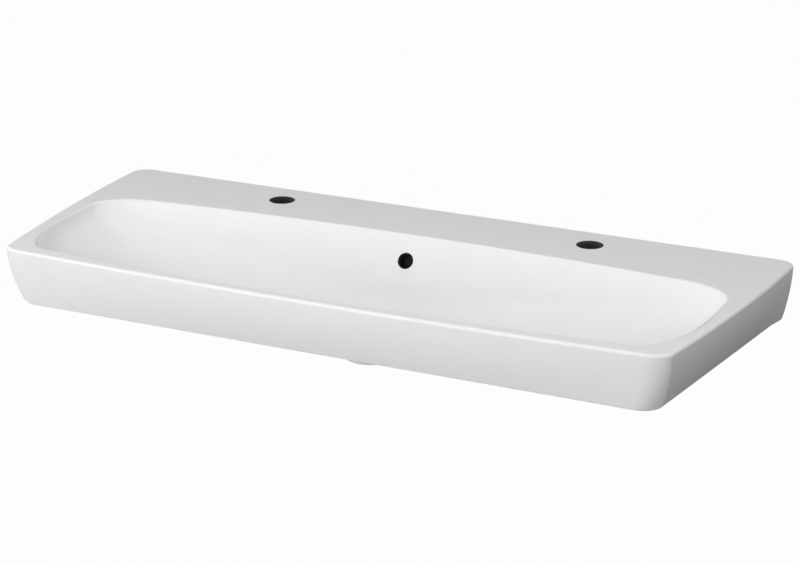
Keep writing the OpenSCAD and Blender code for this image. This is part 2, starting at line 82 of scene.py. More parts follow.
def mix(a: float, b: float, t: float) -> float:
    """Goes from a to b as t goes from 0 to 1."""
    return a + (b - a) * t


def ease(t: float) -> float:
    """Goes from 0 to 1 with level ends."""
    t = min(1.0, max(0.0, t))
    return t * t * (3 - 2 * t)


def along(value: float, start: float, end: float) -> float:
    """Gives how far a value has come from start to end, as a share."""
    return (value - start) / (end - start)


def place(point: Point) -> Vector:
    """Turns a drawing point in millimetres into a scene point in metres."""
    return Vector((point[0], point[1], point[2] + RIM_Z)) * MM


class Cut(Enum):
    """How one solid works on another."""

    JOIN = "UNION"
    REMOVE = "DIFFERENCE"


def deselect() -> None:
    """Leaves edit mode and deselects every object."""
    if bpy.context.mode != "OBJECT":
        bpy.ops.object.mode_set(mode="OBJECT")
    bpy.ops.object.select_all(action="DESELECT")


def take(piece: Piece) -> None:
    """Selects one piece alone and makes it the active one.

    Args:
        piece: The piece.
    """
    deselect()
    piece.select_set(True)
    bpy.context.view_layer.objects.active = piece


def loft(name: str, rings: Sequence[Ring], capped: bool = True) -> Piece:
    """Carries a circle through rings of points by extruding it, and closes its ends.

    The circle is extruded once for each ring, and the new ring's points are moved to their
    places. A last ring that repeats the first closes the skin like a tyre.

    Args:
        name: Name of the new piece.
        rings: The rings, each with as many points.
        capped: Whether faces close the first and the last ring.

    Returns:
        The closed piece, with its object at the origin.
    """
    deselect()
    columns = len(rings[0])
    bpy.ops.mesh.primitive_circle_add(vertices=columns, radius=abs(rings[0][0][0]) * MM or MM)
    piece = bpy.context.active_object
    piece.name = piece.data.name = name
    bpy.ops.object.mode_set(mode="EDIT")
    bpy.ops.mesh.select_mode(type="VERT")
    bpy.ops.mesh.select_all(action="SELECT")
    for number, ring in enumerate(rings):
        if number:
            bpy.ops.mesh.extrude_region_move()
        mesh = bmesh.from_edit_mesh(piece.data)
        column = mesh.verts.layers.int.get("column") or mesh.verts.layers.int.new("column")
        for order, vertex in enumerate(mesh.verts):
            if not number:
                vertex[column] = order
            if vertex.select:
                vertex.co = place(ring[vertex[column]])
        bmesh.update_edit_mesh(piece.data)
    if capped:
        bpy.ops.mesh.edge_face_add()
        mesh = bmesh.from_edit_mesh(piece.data)
        mesh.verts.ensure_lookup_table()
        bpy.ops.mesh.select_all(action="DESELECT")
        for vertex in mesh.verts[:columns]:
            vertex.select = True
        mesh.select_flush(True)
        bpy.ops.mesh.edge_face_add()
    bpy.ops.mesh.select_all(action="SELECT")
    bpy.ops.mesh.remove_doubles(threshold=MM * 1e-3)
    bpy.ops.mesh.normals_make_consistent(inside=False)
    bpy.ops.object.mode_set(mode="OBJECT")
    piece.data.attributes.remove(piece.data.attributes["column"])
    return piece


def turned(profile: Profile, columns: int = 96, centre: tuple[float, float] = (0, DRAIN_Y)) -> list[Ring]:
    """Makes the rings of a turned shape.

    Args:
        profile: Radius and height of each ring.
        columns: Points on each ring.
        centre: X and Y of the axis, which is the drain's if nothing else is said.

    Returns:
        The rings.
    """
    angles = [2 * math.pi * i / columns for i in range(columns)]
    return [
        [(centre[0] + r * math.cos(a), centre[1] + r * math.sin(a), z) for a in angles]
        for r, z in profile
    ]


def aimed(rings: Sequence[Ring], origin: Point, turn: Matrix) -> list[Ring]:
    """Turns rings drawn about the origin and moves them to a place.

    Args:
        rings: The rings.
        origin: Where their origin goes.
        turn: The turn.

    Returns:
        The rings in place.
    """
    return [[tuple(turn @ Vector(p) + Vector(origin)) for p in ring] for ring in rings]


def modify(piece: Piece, kind: str, **settings: object) -> None:
    """Adds a modifier to a piece and applies it.

    Args:
        piece: The piece.
        kind: The modifier's type.
        **settings: The modifier's properties.
    """
    take(piece)
    bpy.ops.object.modifier_add(type=kind)
    modifier = piece.modifiers[-1]
    for name, value in settings.items():
        setattr(modifier, name, value)
    bpy.ops.object.modifier_apply(modifier=modifier.name)


def work(piece: Piece, tool: Piece, cut: Cut) -> None:
    """Joins a solid to a piece or removes it from it, and deletes the solid.

    Args:
        piece: The piece that is worked on.
        tool: The solid that works on it.
        cut: Whether it is joined or removed.
    """
    settings = {"operation": cut.value, "object": tool, "solver": "EXACT", "material_mode": "TRANSFER"}
    modify(piece, "BOOLEAN", **settings)
    bpy.data.objects.remove(tool)


def smooth(piece: Piece, sharpest: float = 32.0) -> None:
    """Shades a piece smooth up to an angle, with its flat faces kept flat.

    Args:
        piece: The piece.
        sharpest: Degrees between faces above which an edge stays sharp.
    """
    take(piece)
    bpy.ops.object.shade_smooth_by_angle(angle=math.radians(sharpest))
    modify(piece, "WEIGHTED_NORMAL", keep_sharp=True)


def round_corner(meet: tuple, start: tuple, end: tuple, t: float) -> tuple[float, float]:
    """Rounds a corner, as t goes from 0 to 1, between two edges that would meet at a point."""
    u, v = 1 - math.sin(math.pi / 2 * t), 1 - math.cos(math.pi / 2 * t)
    return tuple(m + (a - m) * u + (b - m) * v for m, a, b in zip(meet, start, end))


def softened(corners: Corners, steps: int = 4) -> Profile:
    """Rounds the corners of a closed outline.

    Args:
        corners: The two coordinates and the rounding of each corner, in order.
        steps: Facets of each rounding.

    Returns:
        The outline's points.
    """
    points = []
    for i, (x, y, r) in enumerate(corners):
        if not r:
            points.append((x, y))
            continue
        ends = []
        for other in (corners[i - 1], corners[(i + 1) % len(corners)]):
            share = min(r / math.dist((x, y), other[:2]), 0.48)
            ends.append((mix(x, other[0], share), mix(y, other[1], share)))
        points += [round_corner((x, y), ends[0], ends[1], j / steps) for j in range(steps + 1)]
    return points


def slab(near: float, far: float, low: float, high: float, *roundings: float) -> Corners:
    """Gives the corners of a rectangle in order, from the near low one to the far low one and on.

    Args:
        near: First coordinate of one side.
        far: First coordinate of the opposite side.
        low: Second coordinate of the lower side.
        high: Second coordinate of the upper side.
        *roundings: One rounding for all corners, or one for each.

    Returns:
        The corners with their roundings.
    """
    corners = ((near, low), (far, low), (far, high), (near, high))
    return [(*corner, roundings[i % len(roundings)]) for i, corner in enumerate(corners)]


def flare(r: float, z: float, out: float, up: float, steps: int) -> Profile:
    """Gives a quarter round that starts along the axis and ends square to it.

    Args:
        r: Radius at which it starts.
        z: Height at which it ends.
        out: How far it goes out, below 0 for inwards.
        up: How far above its end it starts, below 0 for beneath it.
        steps: Its facets.

    Returns:
        The radius and height of its points.
    """
    angles = [math.pi / 2 * i / steps for i in range(steps + 1)]
    return [(r + out * (1 - math.cos(a)), z + up * (1 - math.sin(a))) for a in angles]


def lathe(name: str, profile: Profile, columns: int = 96) -> Piece:
    """Turns an outline round the drain's axis.

    Args:
        name: Name of the new piece.
        profile: Radius and height of each point. It starts and ends on the axis, or it goes
            round a bore and closes on itself.
        columns: Points on each ring.

    Returns:
        The closed piece.
    """
    closed = profile if profile[0][0] == 0 else [*profile, profile[0]]
    return loft(name, turned(closed, columns), capped=False)


def turned_at_wall(name: str, profile: Profile, columns: int, x: float) -> Piece:
    """Turns a closed outline round an axis that stands out of the wall at the fixings' height."""
    rings = aimed(turned(profile, columns, (0, 0)), (x, 0, -RIM_Z), AWAY_FROM_WALL)
    return loft(name, rings, capped=False)


def bar(name: str, outline: Profile, length: float, turn: float = 0.0) -> Piece:
    """Makes a straight bar across the drain's axis.

    Args:
        name: Name of the solid.
        outline: Y and Z of its corners.
        length: Length along X.
        turn: Degrees by which it is turned round the drain's axis.

    Returns:
        The bar.
    """
    rings = [[(x, y - DRAIN_Y, z) for y, z in outline] for x in (-length / 2, length / 2)]
    return loft(name, aimed(rings, (0, DRAIN_Y, 0), Matrix.Rotation(math.radians(turn), 3, "Z")))


def round_edges(piece: Piece, width: float, segments: int = 3, angle: float = 40.0) -> None:
    """Bevels a piece's sharp edges.

    Args:
        piece: The piece.
        width: Width of the bevel in millimetres.
        segments: Facets of the bevel.
        angle: Degrees between faces above which an edge is bevelled.
    """
    limit = {"limit_method": "ANGLE", "angle_limit": math.radians(angle)}
    modify(piece, "BEVEL", width=width * MM, segments=segments, **limit)


def twin(piece: Piece, shift: float) -> Piece:
    """Copies a piece, with a mesh of its own, to a place along the wall.

    Args:
        piece: The piece.
        shift: How far along X the copy goes, in millimetres.

    Returns:
        The copy, with its object at the origin too.
    """
    take(piece)
    bpy.ops.object.duplicate(linked=False)
    copy = bpy.context.active_object
    bpy.ops.object.mode_set(mode="EDIT")
    bpy.ops.mesh.select_all(action="SELECT")
    bpy.ops.transform.translate(value=(shift * MM, 0, 0))
    bpy.ops.object.mode_set(mode="OBJECT")
    return copy


def spot(r: float, a: float, z: float) -> Point:
    """Gives a point from its radius and angle round the drain's axis, and its height."""
    return r * math.cos(a), r * math.sin(a) + DRAIN_Y, z


def thread(r: float, low: float, high: float, pitch: float, columns: int) -> list[Ring]:
    """Makes the rings of a right-hand thread on the drain's axis, which fades out at its ends.

    Args:
        r: Radius of its crests.
        low: Height of its lower end.
        high: Height of its upper end.
        pitch: Distance between its turns.
        columns: Points on each ring.

    Returns:
        The rings, from the lower end to the upper one.
    """
    depth, steps = 0.6 * pitch, round(8 * (high - low) / pitch)
    rings = []
    for i in range(steps + 1):
        z = mix(low, high, i / steps)
        full = depth * ease(min(z - low, high - z) / pitch)
        ring = []
        for c in range(columns):
            turn = c / columns
            groove = 0.5 - 0.5 * math.cos(2 * math.pi * (z / pitch - turn))
            ring.append(spot(r - full * groove, 2 * math.pi * turn, z))
        rings.append(ring)
    return rings


def coil(r: float, wire: float, low: float, high: float, turns: int) -> list[Ring]:
    """Makes the rings of a compression spring on the drain's axis, with a closed turn at each end.

    Args:
        r: Radius of the middle of the wire.
        wire: Radius of the wire.
        low: Height of its lower end.
        high: Height of its upper end.
        turns: Turns from end to end.

    Returns:
        The rings round the wire, from the lower end to the upper one.
    """
    closed = 2.04 * wire
    pitch = (high - low - 2 * wire - 2 * closed) / (turns - 2)
    steps, facets = 28, 12
    rings = []
    for i in range(turns * steps + 1):
        t = i / steps
        ends = min(t, 1) + max(0, t - turns + 1)
        z = low + wire + closed * ends + pitch * (t - ends)
        a = 2 * math.pi * t
        sides = [2 * math.pi * c / facets for c in range(facets)]
        rings.append([spot(r + wire * math.cos(b), a, z + wire * math.sin(b)) for b in sides])
    return rings


def hexagon_nut(
    name: str, flats: float, bore: float, low: float, high: float, chamfer: float, mouth: float
) -> Piece:
    """Makes a hexagon nut on the drain's axis, with turned chamfers.

    Args:
        name: Name of the new piece.
        flats: Width across the flats.
        bore: Radius of its bore.
        low: Height of the lower face.
        high: Height of the upper face.
        chamfer: How far the corners are turned down at the faces.
        mouth: Chamfer of the bore.

    Returns:
        The closed piece.
    """
    half = flats / 2
    corner = half / math.cos(math.pi / 6)
    slope = math.tan(math.radians(30))
    steps, columns = 5, 96
    heights = [chamfer * slope * i / steps for i in range(steps + 1)]
    rings = []
    for z, h in [(low + h, h) for h in heights] + [(high - h, h) for h in reversed(heights)]:
        limit = corner - chamfer + h / slope
        ring = []
        for i in range(columns):
            a = 2 * math.pi * i / columns
            r = min(half / math.cos(a % (math.pi / 3) - math.pi / 6), limit)
            ring.append(spot(r, a, z))
        rings.append(ring)
    inside = [(bore + mouth, high), (bore, high - mouth), (bore, low + mouth), (bore + mouth, low)]
    return loft(name, [*rings, *turned(inside, columns), rings[0]], capped=False)


def colour(code: str) -> tuple[float, float, float, float]:
    """Turns an sRGB hex value into a linear colour.

    Args:
        code: The value, such as #F2F2F0.

    Returns:
        Red, green, blue and alpha.
    """
    parts = [int(code[i : i + 2], 16) / 255 for i in (1, 3, 5)]
    linear = [c / 12.92 if c <= 0.04045 else ((c + 0.055) / 1.055) ** 2.4 for c in parts]
    return *linear, 1.0


def add_node(
    tree: Tree,
    kind: str,
    values: dict | None = None,
    links: dict | None = None,
    **settings: object,
) -> Node:
    """Adds a node with its settings, its input values and its incoming links.

    Args:
        tree: The node tree.
        kind: The node's type, without the words ShaderNode.
        values: Input values by name or number.
        links: Sockets that feed its inputs, by name or number.
        **settings: Properties of the node itself.

    Returns:
        The node.
    """
    node = tree.nodes.new("ShaderNode" + kind)
    for name, value in settings.items():
        setattr(node, name, value)
    for name, value in (values or {}).items():
        node.inputs[name].default_value = value
    for name, socket in (links or {}).items():
        tree.links.new(socket, node.inputs[name])
    return node


@dataclass
class Surface:
    """A new material, and the node tree that its patterns are built in."""

    name: str

    def __post_init__(self) -> None:
        """Makes the material and finds its shader and the object coordinates."""
        self.material = bpy.data.materials.new(self.name)
        self.material.use_nodes = True
        self.tree = self.material.node_tree
        self.shader = self.tree.nodes["Principled BSDF"]
        self.at = add_node(self.tree, "TexCoord").outputs["Object"]

    def feed(self, name: str, socket: Socket) -> None:
        """Links a socket to an input of the shader."""
        self.tree.links.new(socket, self.shader.inputs[name])

    def noise(self, grain: float) -> Socket:
        """Adds a noise with patches of a real size in millimetres."""
        values = {"Scale": 1 / (grain * MM), "Detail": 3.0}
        return add_node(self.tree, "TexNoise", values, {"Vector": self.at}).outputs["Fac"]

    def spread(self, value: Socket, low: float, high: float) -> Socket:
        """Spreads a noise's middle range over a range of values."""
        values = {"From Min": 0.3, "From Max": 0.7, "To Min": low, "To Max": high}
        return add_node(self.tree, "MapRange", values, {"Value": value}).outputs["Result"]

    def blend(self, share: Socket, tint: str, other_tint: str) -> Socket:
        """Blends two tints by a share."""
        values = {6: colour(tint), 7: colour(other_tint)}
        return add_node(self.tree, "Mix", values, {0: share}, data_type="RGBA").outputs[2]

    def relief(self, height: Socket, depth: float) -> None:
        """Raises a pattern from the surface by a depth in millimetres."""
        values = {"Strength": 0.6, "Distance": depth * MM}
        self.feed("Normal", add_node(self.tree, "Bump", values, {"Height": height}).outputs["Normal"])


@dataclass(frozen=True)
class Finish:
    """A surface finish. It is plain, and each kind adds its own pattern to it."""

    name: str
    tint: str
    other_tint: str
    roughness: float
    metallic: float = 0.0
    ior: float = 1.5

    def start(self) -> Surface:
        """Makes the plain surface.

        Returns:
            The surface, to which patterns can be added.
        """
        made = Surface(self.name)
        made.shader.inputs["Base Color"].default_value = colour(self.tint)
        made.shader.inputs["Roughness"].default_value = self.roughness
        made.shader.inputs["Metallic"].default_value = self.metallic
        made.shader.inputs["IOR"].default_value = self.ior
        return made

    def vary(self, made: Surface, share: Socket, less: float, more: float) -> None:
        """Varies the colour by a share, and the roughness from less below to more above its value."""
        made.feed("Base Color", made.blend(share, self.tint, self.other_tint))
        made.feed("Roughness", made.spread(share, self.roughness - less, self.roughness + more))

    def material(self) -> Material:
        """Makes the material."""
        return self.start().material


@dataclass(frozen=True)
class GlazedChina(Finish):
    """White glaze fired on vitreous china, and the bare ground face at the wall."""

    pool: float = 45.0
    grit: float = 0.8
    bare: tuple[str, str] = ("#DAD5CB", "#E8E4DC")
    bare_roughness: float = 0.85

    def material(self) -> Material:
        """Makes the glaze, which pools in soft patches, and the matt face that was ground flat.

        Returns:
            The material.
        """
        made = self.start()
        tree, pool = made.tree, made.noise(self.pool)
        tint = made.blend(pool, self.tint, self.other_tint)
        gloss = made.spread(pool, self.roughness - 0.02, self.roughness + 0.02)
        depth = add_node(tree, "SeparateXYZ", links={"Vector": made.at}).outputs["Y"]
        values = {"From Min": -0.4 * MM, "From Max": -0.1 * MM}
        ground = add_node(tree, "MapRange", values, {"Value": depth}).outputs["Result"]
        clay = made.blend(made.noise(self.grit), *self.bare)
        surface = add_node(tree, "Mix", links={0: ground, 6: tint, 7: clay}, data_type="RGBA")
        values = {3: self.bare_roughness}
        rough = add_node(tree, "Mix", values, {0: ground, 2: gloss}, data_type="FLOAT")
        made.feed("Base Color", surface.outputs[2])
        made.feed("Roughness", rough.outputs[0])
        return made.material


@dataclass(frozen=True)
class BareClay(Finish):
    """Fired clay that has no glaze on it, as under the basin and inside its holes."""

    grit: float = 0.8
    stain: float = 30.0
    depth: float = 0.05

    def material(self) -> Material:
        """Makes the clay, which is gritty and stained in soft patches.

        Returns:
            The material.
        """
        made = self.start()
        made.feed("Base Color", made.blend(made.noise(self.stain), self.tint, self.other_tint))
        made.relief(made.noise(self.grit), self.depth)
        return made.material


@dataclass(frozen=True)
class Moulded(Finish):
    """Plastic or rubber from a mould, with the mould's fine grain and a little bloom."""

    grain: float = 0.5
    depth: float = 0.02
    bloom: float = 6.0

    def material(self) -> Material:
        """Makes the moulded surface, whose colour shifts softly with the bloom.

        Returns:
            The material.
        """
        made = self.start()
        self.vary(made, made.noise(self.bloom), 0.06, 0.06)
        made.relief(made.noise(self.grain), self.depth)
        return made.material


@dataclass(frozen=True)
class Turned(Finish):
    """Metal turned on a lathe, whose tool left fine rings round the drain's axis."""

    ring: float = 0.25
    depth: float = 0.01
    tarnish: float = 5.0

    def material(self) -> Material:
        """Makes the turned metal, with rings of uneven depth and soft patches of tarnish.

        Returns:
            The material.
        """
        made = self.start()
        tree, at = made.tree, made.at
        values = {"Location": (0, -DRAIN_Y * MM, 0), "Scale": (1, 1, 0)}
        level = add_node(tree, "Mapping", values, {"Vector": at}).outputs["Vector"]
        radius = add_node(tree, "VectorMath", links={0: level}, operation="LENGTH").outputs["Value"]
        height = add_node(tree, "SeparateXYZ", links={"Vector": at}).outputs["Z"]
        across = add_node(tree, "Math", links={0: radius, 1: height}, operation="ADD").outputs[0]
        values = {"Scale": 1 / (self.ring * MM), "Detail": 2.0}
        rings = add_node(tree, "TexNoise", values, {"W": across}, noise_dimensions="1D")
        self.vary(made, made.noise(self.tarnish), 0.04, 0.06)
        made.relief(rings.outputs["Fac"], self.depth)
        return made.material


class Slot(Enum):
    """The record's material slots."""

    CHINA = "china"
    BUSH = "bush_plastic"
    CHROME = "chrome_plate"
    RUBBER = "seal_rubber"
    WASHER = "washer_plastic"
    BRASS = "nut_brass"
    CLICK = "click_plastic"
    CAM = "cam_plastic"
    SPRING = "spring_steel"


FINISHES: dict[Slot, Finish] = {
    # White glaze on vitreous china: a flat white with broad, soft reflections.
    Slot.CHINA: GlazedChina("glazed_vitreous_china", "#EFEFEF", "#F3F3F3", 0.32, ior=1.52),
    # Moulded nylon: dark, dry and a little waxy.
    Slot.BUSH: Moulded("moulded_nylon", "#29292B", "#343437", 0.5, ior=1.53, grain=0.4),
    # Chrome plate on turned brass: a cold mirror with the faintest rings under it.
    Slot.CHROME: Turned("polished_chrome_plate", "#C6C8CB", "#D2D4D6", 0.1, 1.0, ring=0.6, depth=0.002),
    # Moulded EPDM rubber: matt near-black with a pale bloom.
    Slot.RUBBER: Moulded("moulded_epdm_rubber", "#1B1B1C", "#2A2A2B", 0.75, ior=1.5, grain=0.3),
    # Moulded polypropylene: milky white and slightly slippery.
    Slot.WASHER: Moulded("moulded_polypropylene", "#E4E4DF", "#ECECE8", 0.4, ior=1.49),
    # Turned yellow brass: warm, bright rings with a darker bloom.
    Slot.BRASS: Turned("turned_brass", "#D9BC7A", "#C2A35F", 0.28, 1.0),
    # Moulded acetal: dense, cool white with a dull sheen.
    Slot.CLICK: Moulded("moulded_acetal", "#DEDED9", "#E6E6E2", 0.35, ior=1.48, grain=0.4),
    # Cream acetal with a lubricant mixed in: dull and waxy.
    Slot.CAM: Moulded("moulded_cream_acetal", "#E0DBC6", "#D8D2B8", 0.45, ior=1.48, grain=0.4),
    # Cold-drawn stainless wire: grey, with fine lines that break up its shine.
    Slot.SPRING: Turned("drawn_spring_steel", "#A9A9AB", "#98989A", 0.3, 1.0, ring=0.15, depth=0.006),
}

# Bare fired clay: grey-buff, gritty and quite matt.
BARE_CLAY = BareClay("bare_fired_clay", "#989389", "#A7A298", 0.9, ior=1.5)

# Painted shade: the unglazed walls of the tap holes, the overflow and its channel are coloured all but
# black, for the shade deep inside them.
HOLE_PAINTED_SHADE = BareClay("painted_shade_in_the_holes", "#242322", "#2D2C2A", 0.9, ior=1.5)


@dataclass
class Workshop:
    """Keeps one material for each slot, and finishes each piece with it."""

    materials: dict[Slot, Material] = field(default_factory=dict)

    def material(self, slot: Slot) -> Material:
        """Gives a slot's material, which is made at its first use.

        Args:
            slot: The slot.

        Returns:
            Its material.
        """
        if slot not in self.materials:
            self.materials[slot] = FINISHES[slot].material()
        return self.materials[slot]

    def fit(self, piece: Piece, node: str, body: str, slot: Slot, sharpest: float = 32.0) -> Piece:
        """Shades a piece, dresses it and puts it in the place of its CAD node.

        Args:
            piece: The piece.
            node: The CAD node that it stands for.
            body: The body that it moves with.
            slot: The slot that its finish comes from.
            sharpest: Degrees between faces above which an edge stays sharp.

        Returns:
            The piece.
        """
        smooth(piece, sharpest)
        if not piece.data.materials:
            piece.data.materials.append(self.material(slot))
        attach(piece, body)
        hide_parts(node)
        LOG.info("%s: %d faces", piece.name, len(piece.data.polygons))
        return piece

    def turn(
        self, name: str, corners: Corners, node: str, body: str, slot: Slot, columns: int = 96
    ) -> None:
        """Turns a piece round the drain's axis from an outline with rounded corners, and fits it."""
        self.fit(lathe(name, softened(corners), columns), node, body, slot)


@dataclass(frozen=True)
class ChinaSizes:
    """Sizes of the china in millimetres. Heights are below the rim, distances from the wall."""

    half_w: float = BASIN_HIGH[0]
    body_d: float = -BASIN_LOW[1]
    body_h: float = 92.5
    front_lean: float = 26.0
    side_lean: float = 13.5
    side_bow: float = 48.5
    side_taper: float = 54.5
    front_bow: float = 17.0
    side_curve: float = 1.75
    apron_curve: float = 1.85
    top_corner: tuple[float, float] = (34.0, 19.0)
    foot_corner: tuple[float, float] = (30.0, 28.0)
    least_corner: float = 4.0
    rear_corner_r: float = 25.0
    edge_r: float = 5.0
    foot_r: float = 3.0
    tap_deck: float = 144.5
    end_rim: float = 44.5
    front_rim: float = 20.0
    rim_bow: float = 29.0
    rear_bow: float = 32.0
    bowl_depth: float = 106.0
    rear_slope: float = 0.53
    front_slope: float = 0.55
    rear_sweep: float = 20.0
    front_sweep: float = 60.0
    rim_r: float = 7.0
    deck_t: float = 14.0
    rear_t: float = 14.0
    apron_t: float = 12.0
    bowl_t: float = 9.0
    floor_t: float = 11.0
    front_solid: float = 56.0
    tap_r: float = 17.5
    tap_x: float = 278.5
    tap_y: float = 65.5
    tap_edge_r: float = 4.5
    tap_seat_t: float = 9.0
    tap_seat_r: float = 32.0
    overflow_r: float = 12.0
    overflow_drop: float = 38.0
    overflow_edge_r: float = 1.5
    channel_w: float = 30.0
    channel_t: float = 10.0
    channel_skin: float = 7.0
    channel_inset: float = 1.0
    outlet_r: float = 41.0
    outlet_drop: float = RIM_Z - BASIN_LOW[2]
    outlet_flare: float = 8.0
    outlet_round: float = 3.0
    upper_flat: float = 4.0
    lower_flat: float = 12.0
    bore_r: float = 22.5
    nut_pocket_r: float = 35.0
    nut_pocket_h: float = 26.0
    flange_seat_r: float = 34.0
    flange_seat_t: float = 3.5
    fixing_x: float = 440.0
    fixing_r: float = 14.0
    fixing_pad_r: float = 28.0
    fixing_pad_t: float = 10.0
    fixing_pad_round: float = 3.0


@dataclass
class ChinaBasin:
    """The china: a wide bowl, a tap deck, leaning sides and an open underside, in one piece."""

    shop: Workshop
    sizes: ChinaSizes = field(default_factory=ChinaSizes)
    fineness: int = 3
    # These share no factor with the columns that they cut, so that no corner falls on an edge.
    bore_columns: int = 121
    fixing_columns: int = 49
    floor_share: float = 0.93
    sweep_share: float = 0.65
    rear_share: tuple[float, float] = (0.15, 0.19)
    front_share: tuple[float, float] = (0.12, 0.54)
    low_share: tuple[float, float] = (0.82, 0.46)
    round_from: float = 0.3
    round_over: float = 0.55
    lip_share: tuple[float, float] = (0.55, 0.62)

    def __post_init__(self) -> None:
        """Sets the columns at which the outlines pass from one stretch to the next."""
        stretches = (6, 9, 4, 9, 8)
        ends = [self.fineness * sum(stretches[: i + 1]) for i in range(len(stretches))]
        self.rear_end, self.arc_end, self.side_end, self.corner_end, self.half_n = ends
        self.wall_end = 11 * self.fineness
        self.wall_corner_end = self.wall_end + 3 * self.fineness

    def lean(self, z: float) -> float:
        """Gives the share of the full lean that the outer sides have at a height."""
        return min(1.0, max(0.0, -z / self.sizes.body_h)) ** self.sizes.apron_curve

    def side_x(self, y: float, lean: float) -> float:
        """Gives the half width at a distance from the wall.

        Args:
            y: The place from wall to front.
            lean: Share of the full lean.

        Returns:
            X of the side.
        """
        s = self.sizes
        share = max(0.0, -y / s.body_d)
        return (
            s.half_w
            - s.side_lean * lean
            - mix(s.side_bow * share**s.side_curve, s.side_taper * share, lean)
        )

    def front_y(self, x: float, lean: float) -> float:
        """Gives the place of the front at a distance from the middle."""
        s = self.sizes
        return s.front_lean * lean + s.front_bow * (1 - lean) * (x / s.half_w) ** 2 - s.body_d

    def outer_point(self, h: int, lean: float, inset: float, rear_inset: float) -> tuple[float, float]:
        """Gives a point of the outer outline.

        Args:
            h: Column, from the middle of the wall to the middle of the front.
            lean: Share of the full lean.
            inset: How far the outline is drawn in.
            rear_inset: How far it is drawn in at the wall.

        Returns:
            X and Y.
        """
        s = self.sizes
        k_x = self.side_x(self.front_y(s.half_w, lean), lean) - inset
        k = (k_x, self.front_y(k_x, lean) + inset)
        w, d = (
            max(mix(top, foot, lean) - inset, s.least_corner)
            for top, foot in zip(s.top_corner, s.foot_corner)
        )
        side = (self.side_x(k[1] + d, lean) - inset, k[1] + d)
        front = (k[0] - w, self.front_y(k[0] - w, lean) + inset)
        rear = (self.side_x(-rear_inset, lean) - inset, -rear_inset)
        rear_a = (rear[0] - s.rear_corner_r, rear[1])
        rear_b = (rear[0], rear[1] - s.rear_corner_r)
        if h <= self.wall_end:
            return rear_a[0] * h / self.wall_end, -rear_inset
        if h <= self.wall_corner_end:
            return round_corner(rear, rear_a, rear_b, along(h, self.wall_end, self.wall_corner_end))
        if h <= self.side_end:
            y = mix(rear_b[1], side[1], along(h, self.wall_corner_end, self.side_end))
            return self.side_x(y, lean) - inset, y
        if h <= self.corner_end:
            return round_corner(k, side, front, along(h, self.side_end, self.corner_end))
        x = mix(front[0], 0, along(h, self.corner_end, self.half_n))
        return x, self.front_y(x, lean) + inset

    def sweep(self, k: float) -> float:
        """Gives how far a wall's foot has curved in towards the floor.

        Args:
            k: Share of the bowl's depth.

        Returns:
            0 down to the start of the curve, and 1 at the full depth.
        """
        if k <= self.sweep_share:
            return 0.0
        return 1 - math.sqrt(max(0.0, 1 - along(k, self.sweep_share, 1) ** 2))

    def bowl_point(self, h: int, k: float, outset: float) -> tuple[float, float]:
        """Gives a point of the bowl's outline.

        Args:
            h: Column, from the middle of the rear to the middle of the front.
            k: Share of the bowl's depth.
            outset: How far the outline is drawn out.

        Returns:
            X and Y.
        """
        s = self.sizes
        low = ease((k - self.round_from) / self.round_over)
        w = (s.half_w - s.end_rim) * math.sqrt(max(0.0, 1 - k * k)) + outset
        foot = self.sweep(k)
        rear = outset - (s.tap_deck + s.rear_slope * k * s.bowl_depth + s.rear_sweep * foot)
        front = -outset - (
            s.body_d - s.front_rim - s.front_slope * k * s.bowl_depth - s.front_sweep * foot
        )
        bow, rear_curve = s.rim_bow * (1 - k), s.rear_bow * (1 - k)
        span = rear - front - bow - rear_curve
        rear_x, front_x = (
            w * mix(share[0], self.low_share[0], low) for share in (self.rear_share, self.front_share)
        )
        rear_y, front_y = (
            span * mix(share[1], self.low_share[1], low) for share in (self.rear_share, self.front_share)
        )
        rear_meet, meet = (w, rear - rear_curve), (w, front + bow)
        start = (w - front_x, front + bow * (1 - front_x / w) ** 2)
        if h <= self.rear_end:
            x = (w - rear_x) * h / self.rear_end
            return x, rear - rear_curve * (x / w) ** 2
        if h <= self.arc_end:
            rear_start = (w - rear_x, rear - rear_curve * (1 - rear_x / w) ** 2)
            rear_stop = (w, rear_meet[1] - rear_y)
            return round_corner(rear_meet, rear_start, rear_stop, along(h, self.rear_end, self.arc_end))
        if h <= self.side_end:
            return w, mix(rear_meet[1] - rear_y, meet[1] + front_y, along(h, self.arc_end, self.side_end))
        if h <= self.corner_end:
            side = (w, meet[1] + front_y)
            return round_corner(meet, side, start, along(h, self.side_end, self.corner_end))
        x = mix(start[0], 0, along(h, self.corner_end, self.half_n))
        return x, front + bow * (x / w) ** 2

    def ring(self, half: Callable[[int], Point]) -> Ring:
        """Closes half a ring of points by its mirror image."""
        points = [half(h) for h in range(self.half_n + 1)]
        return points + [(-x, y, z) for x, y, z in reversed(points[1:-1])]

    def floor_ring(self, t: float, flat_r: float, thickness: float) -> Ring:
        """Gives a ring between the flat round the drain and the foot of the bowl's walls.

        Args:
            t: 0 at the walls' foot and 1 at the flat.
            flat_r: Radius of the flat.
            thickness: Distance below the bowl's own surface.

        Returns:
            The ring.
        """
        s = self.sizes
        z = -s.bowl_depth * mix(self.floor_share, 1, 1 - (1 - t) ** 2) - (s.floor_t if thickness else 0)

        def half(h: int) -> Point:
            """Gives the point of one column.

            Args:
                h: The column.

            Returns:
                The point.
            """
            x, y = self.bowl_point(h, self.floor_share, thickness)
            turn = math.pi * h / self.half_n
            flat = (flat_r * math.sin(turn), flat_r * math.cos(turn) + DRAIN_Y)
            return mix(x, flat[0], t), mix(y, flat[1], t), z

        return self.ring(half)

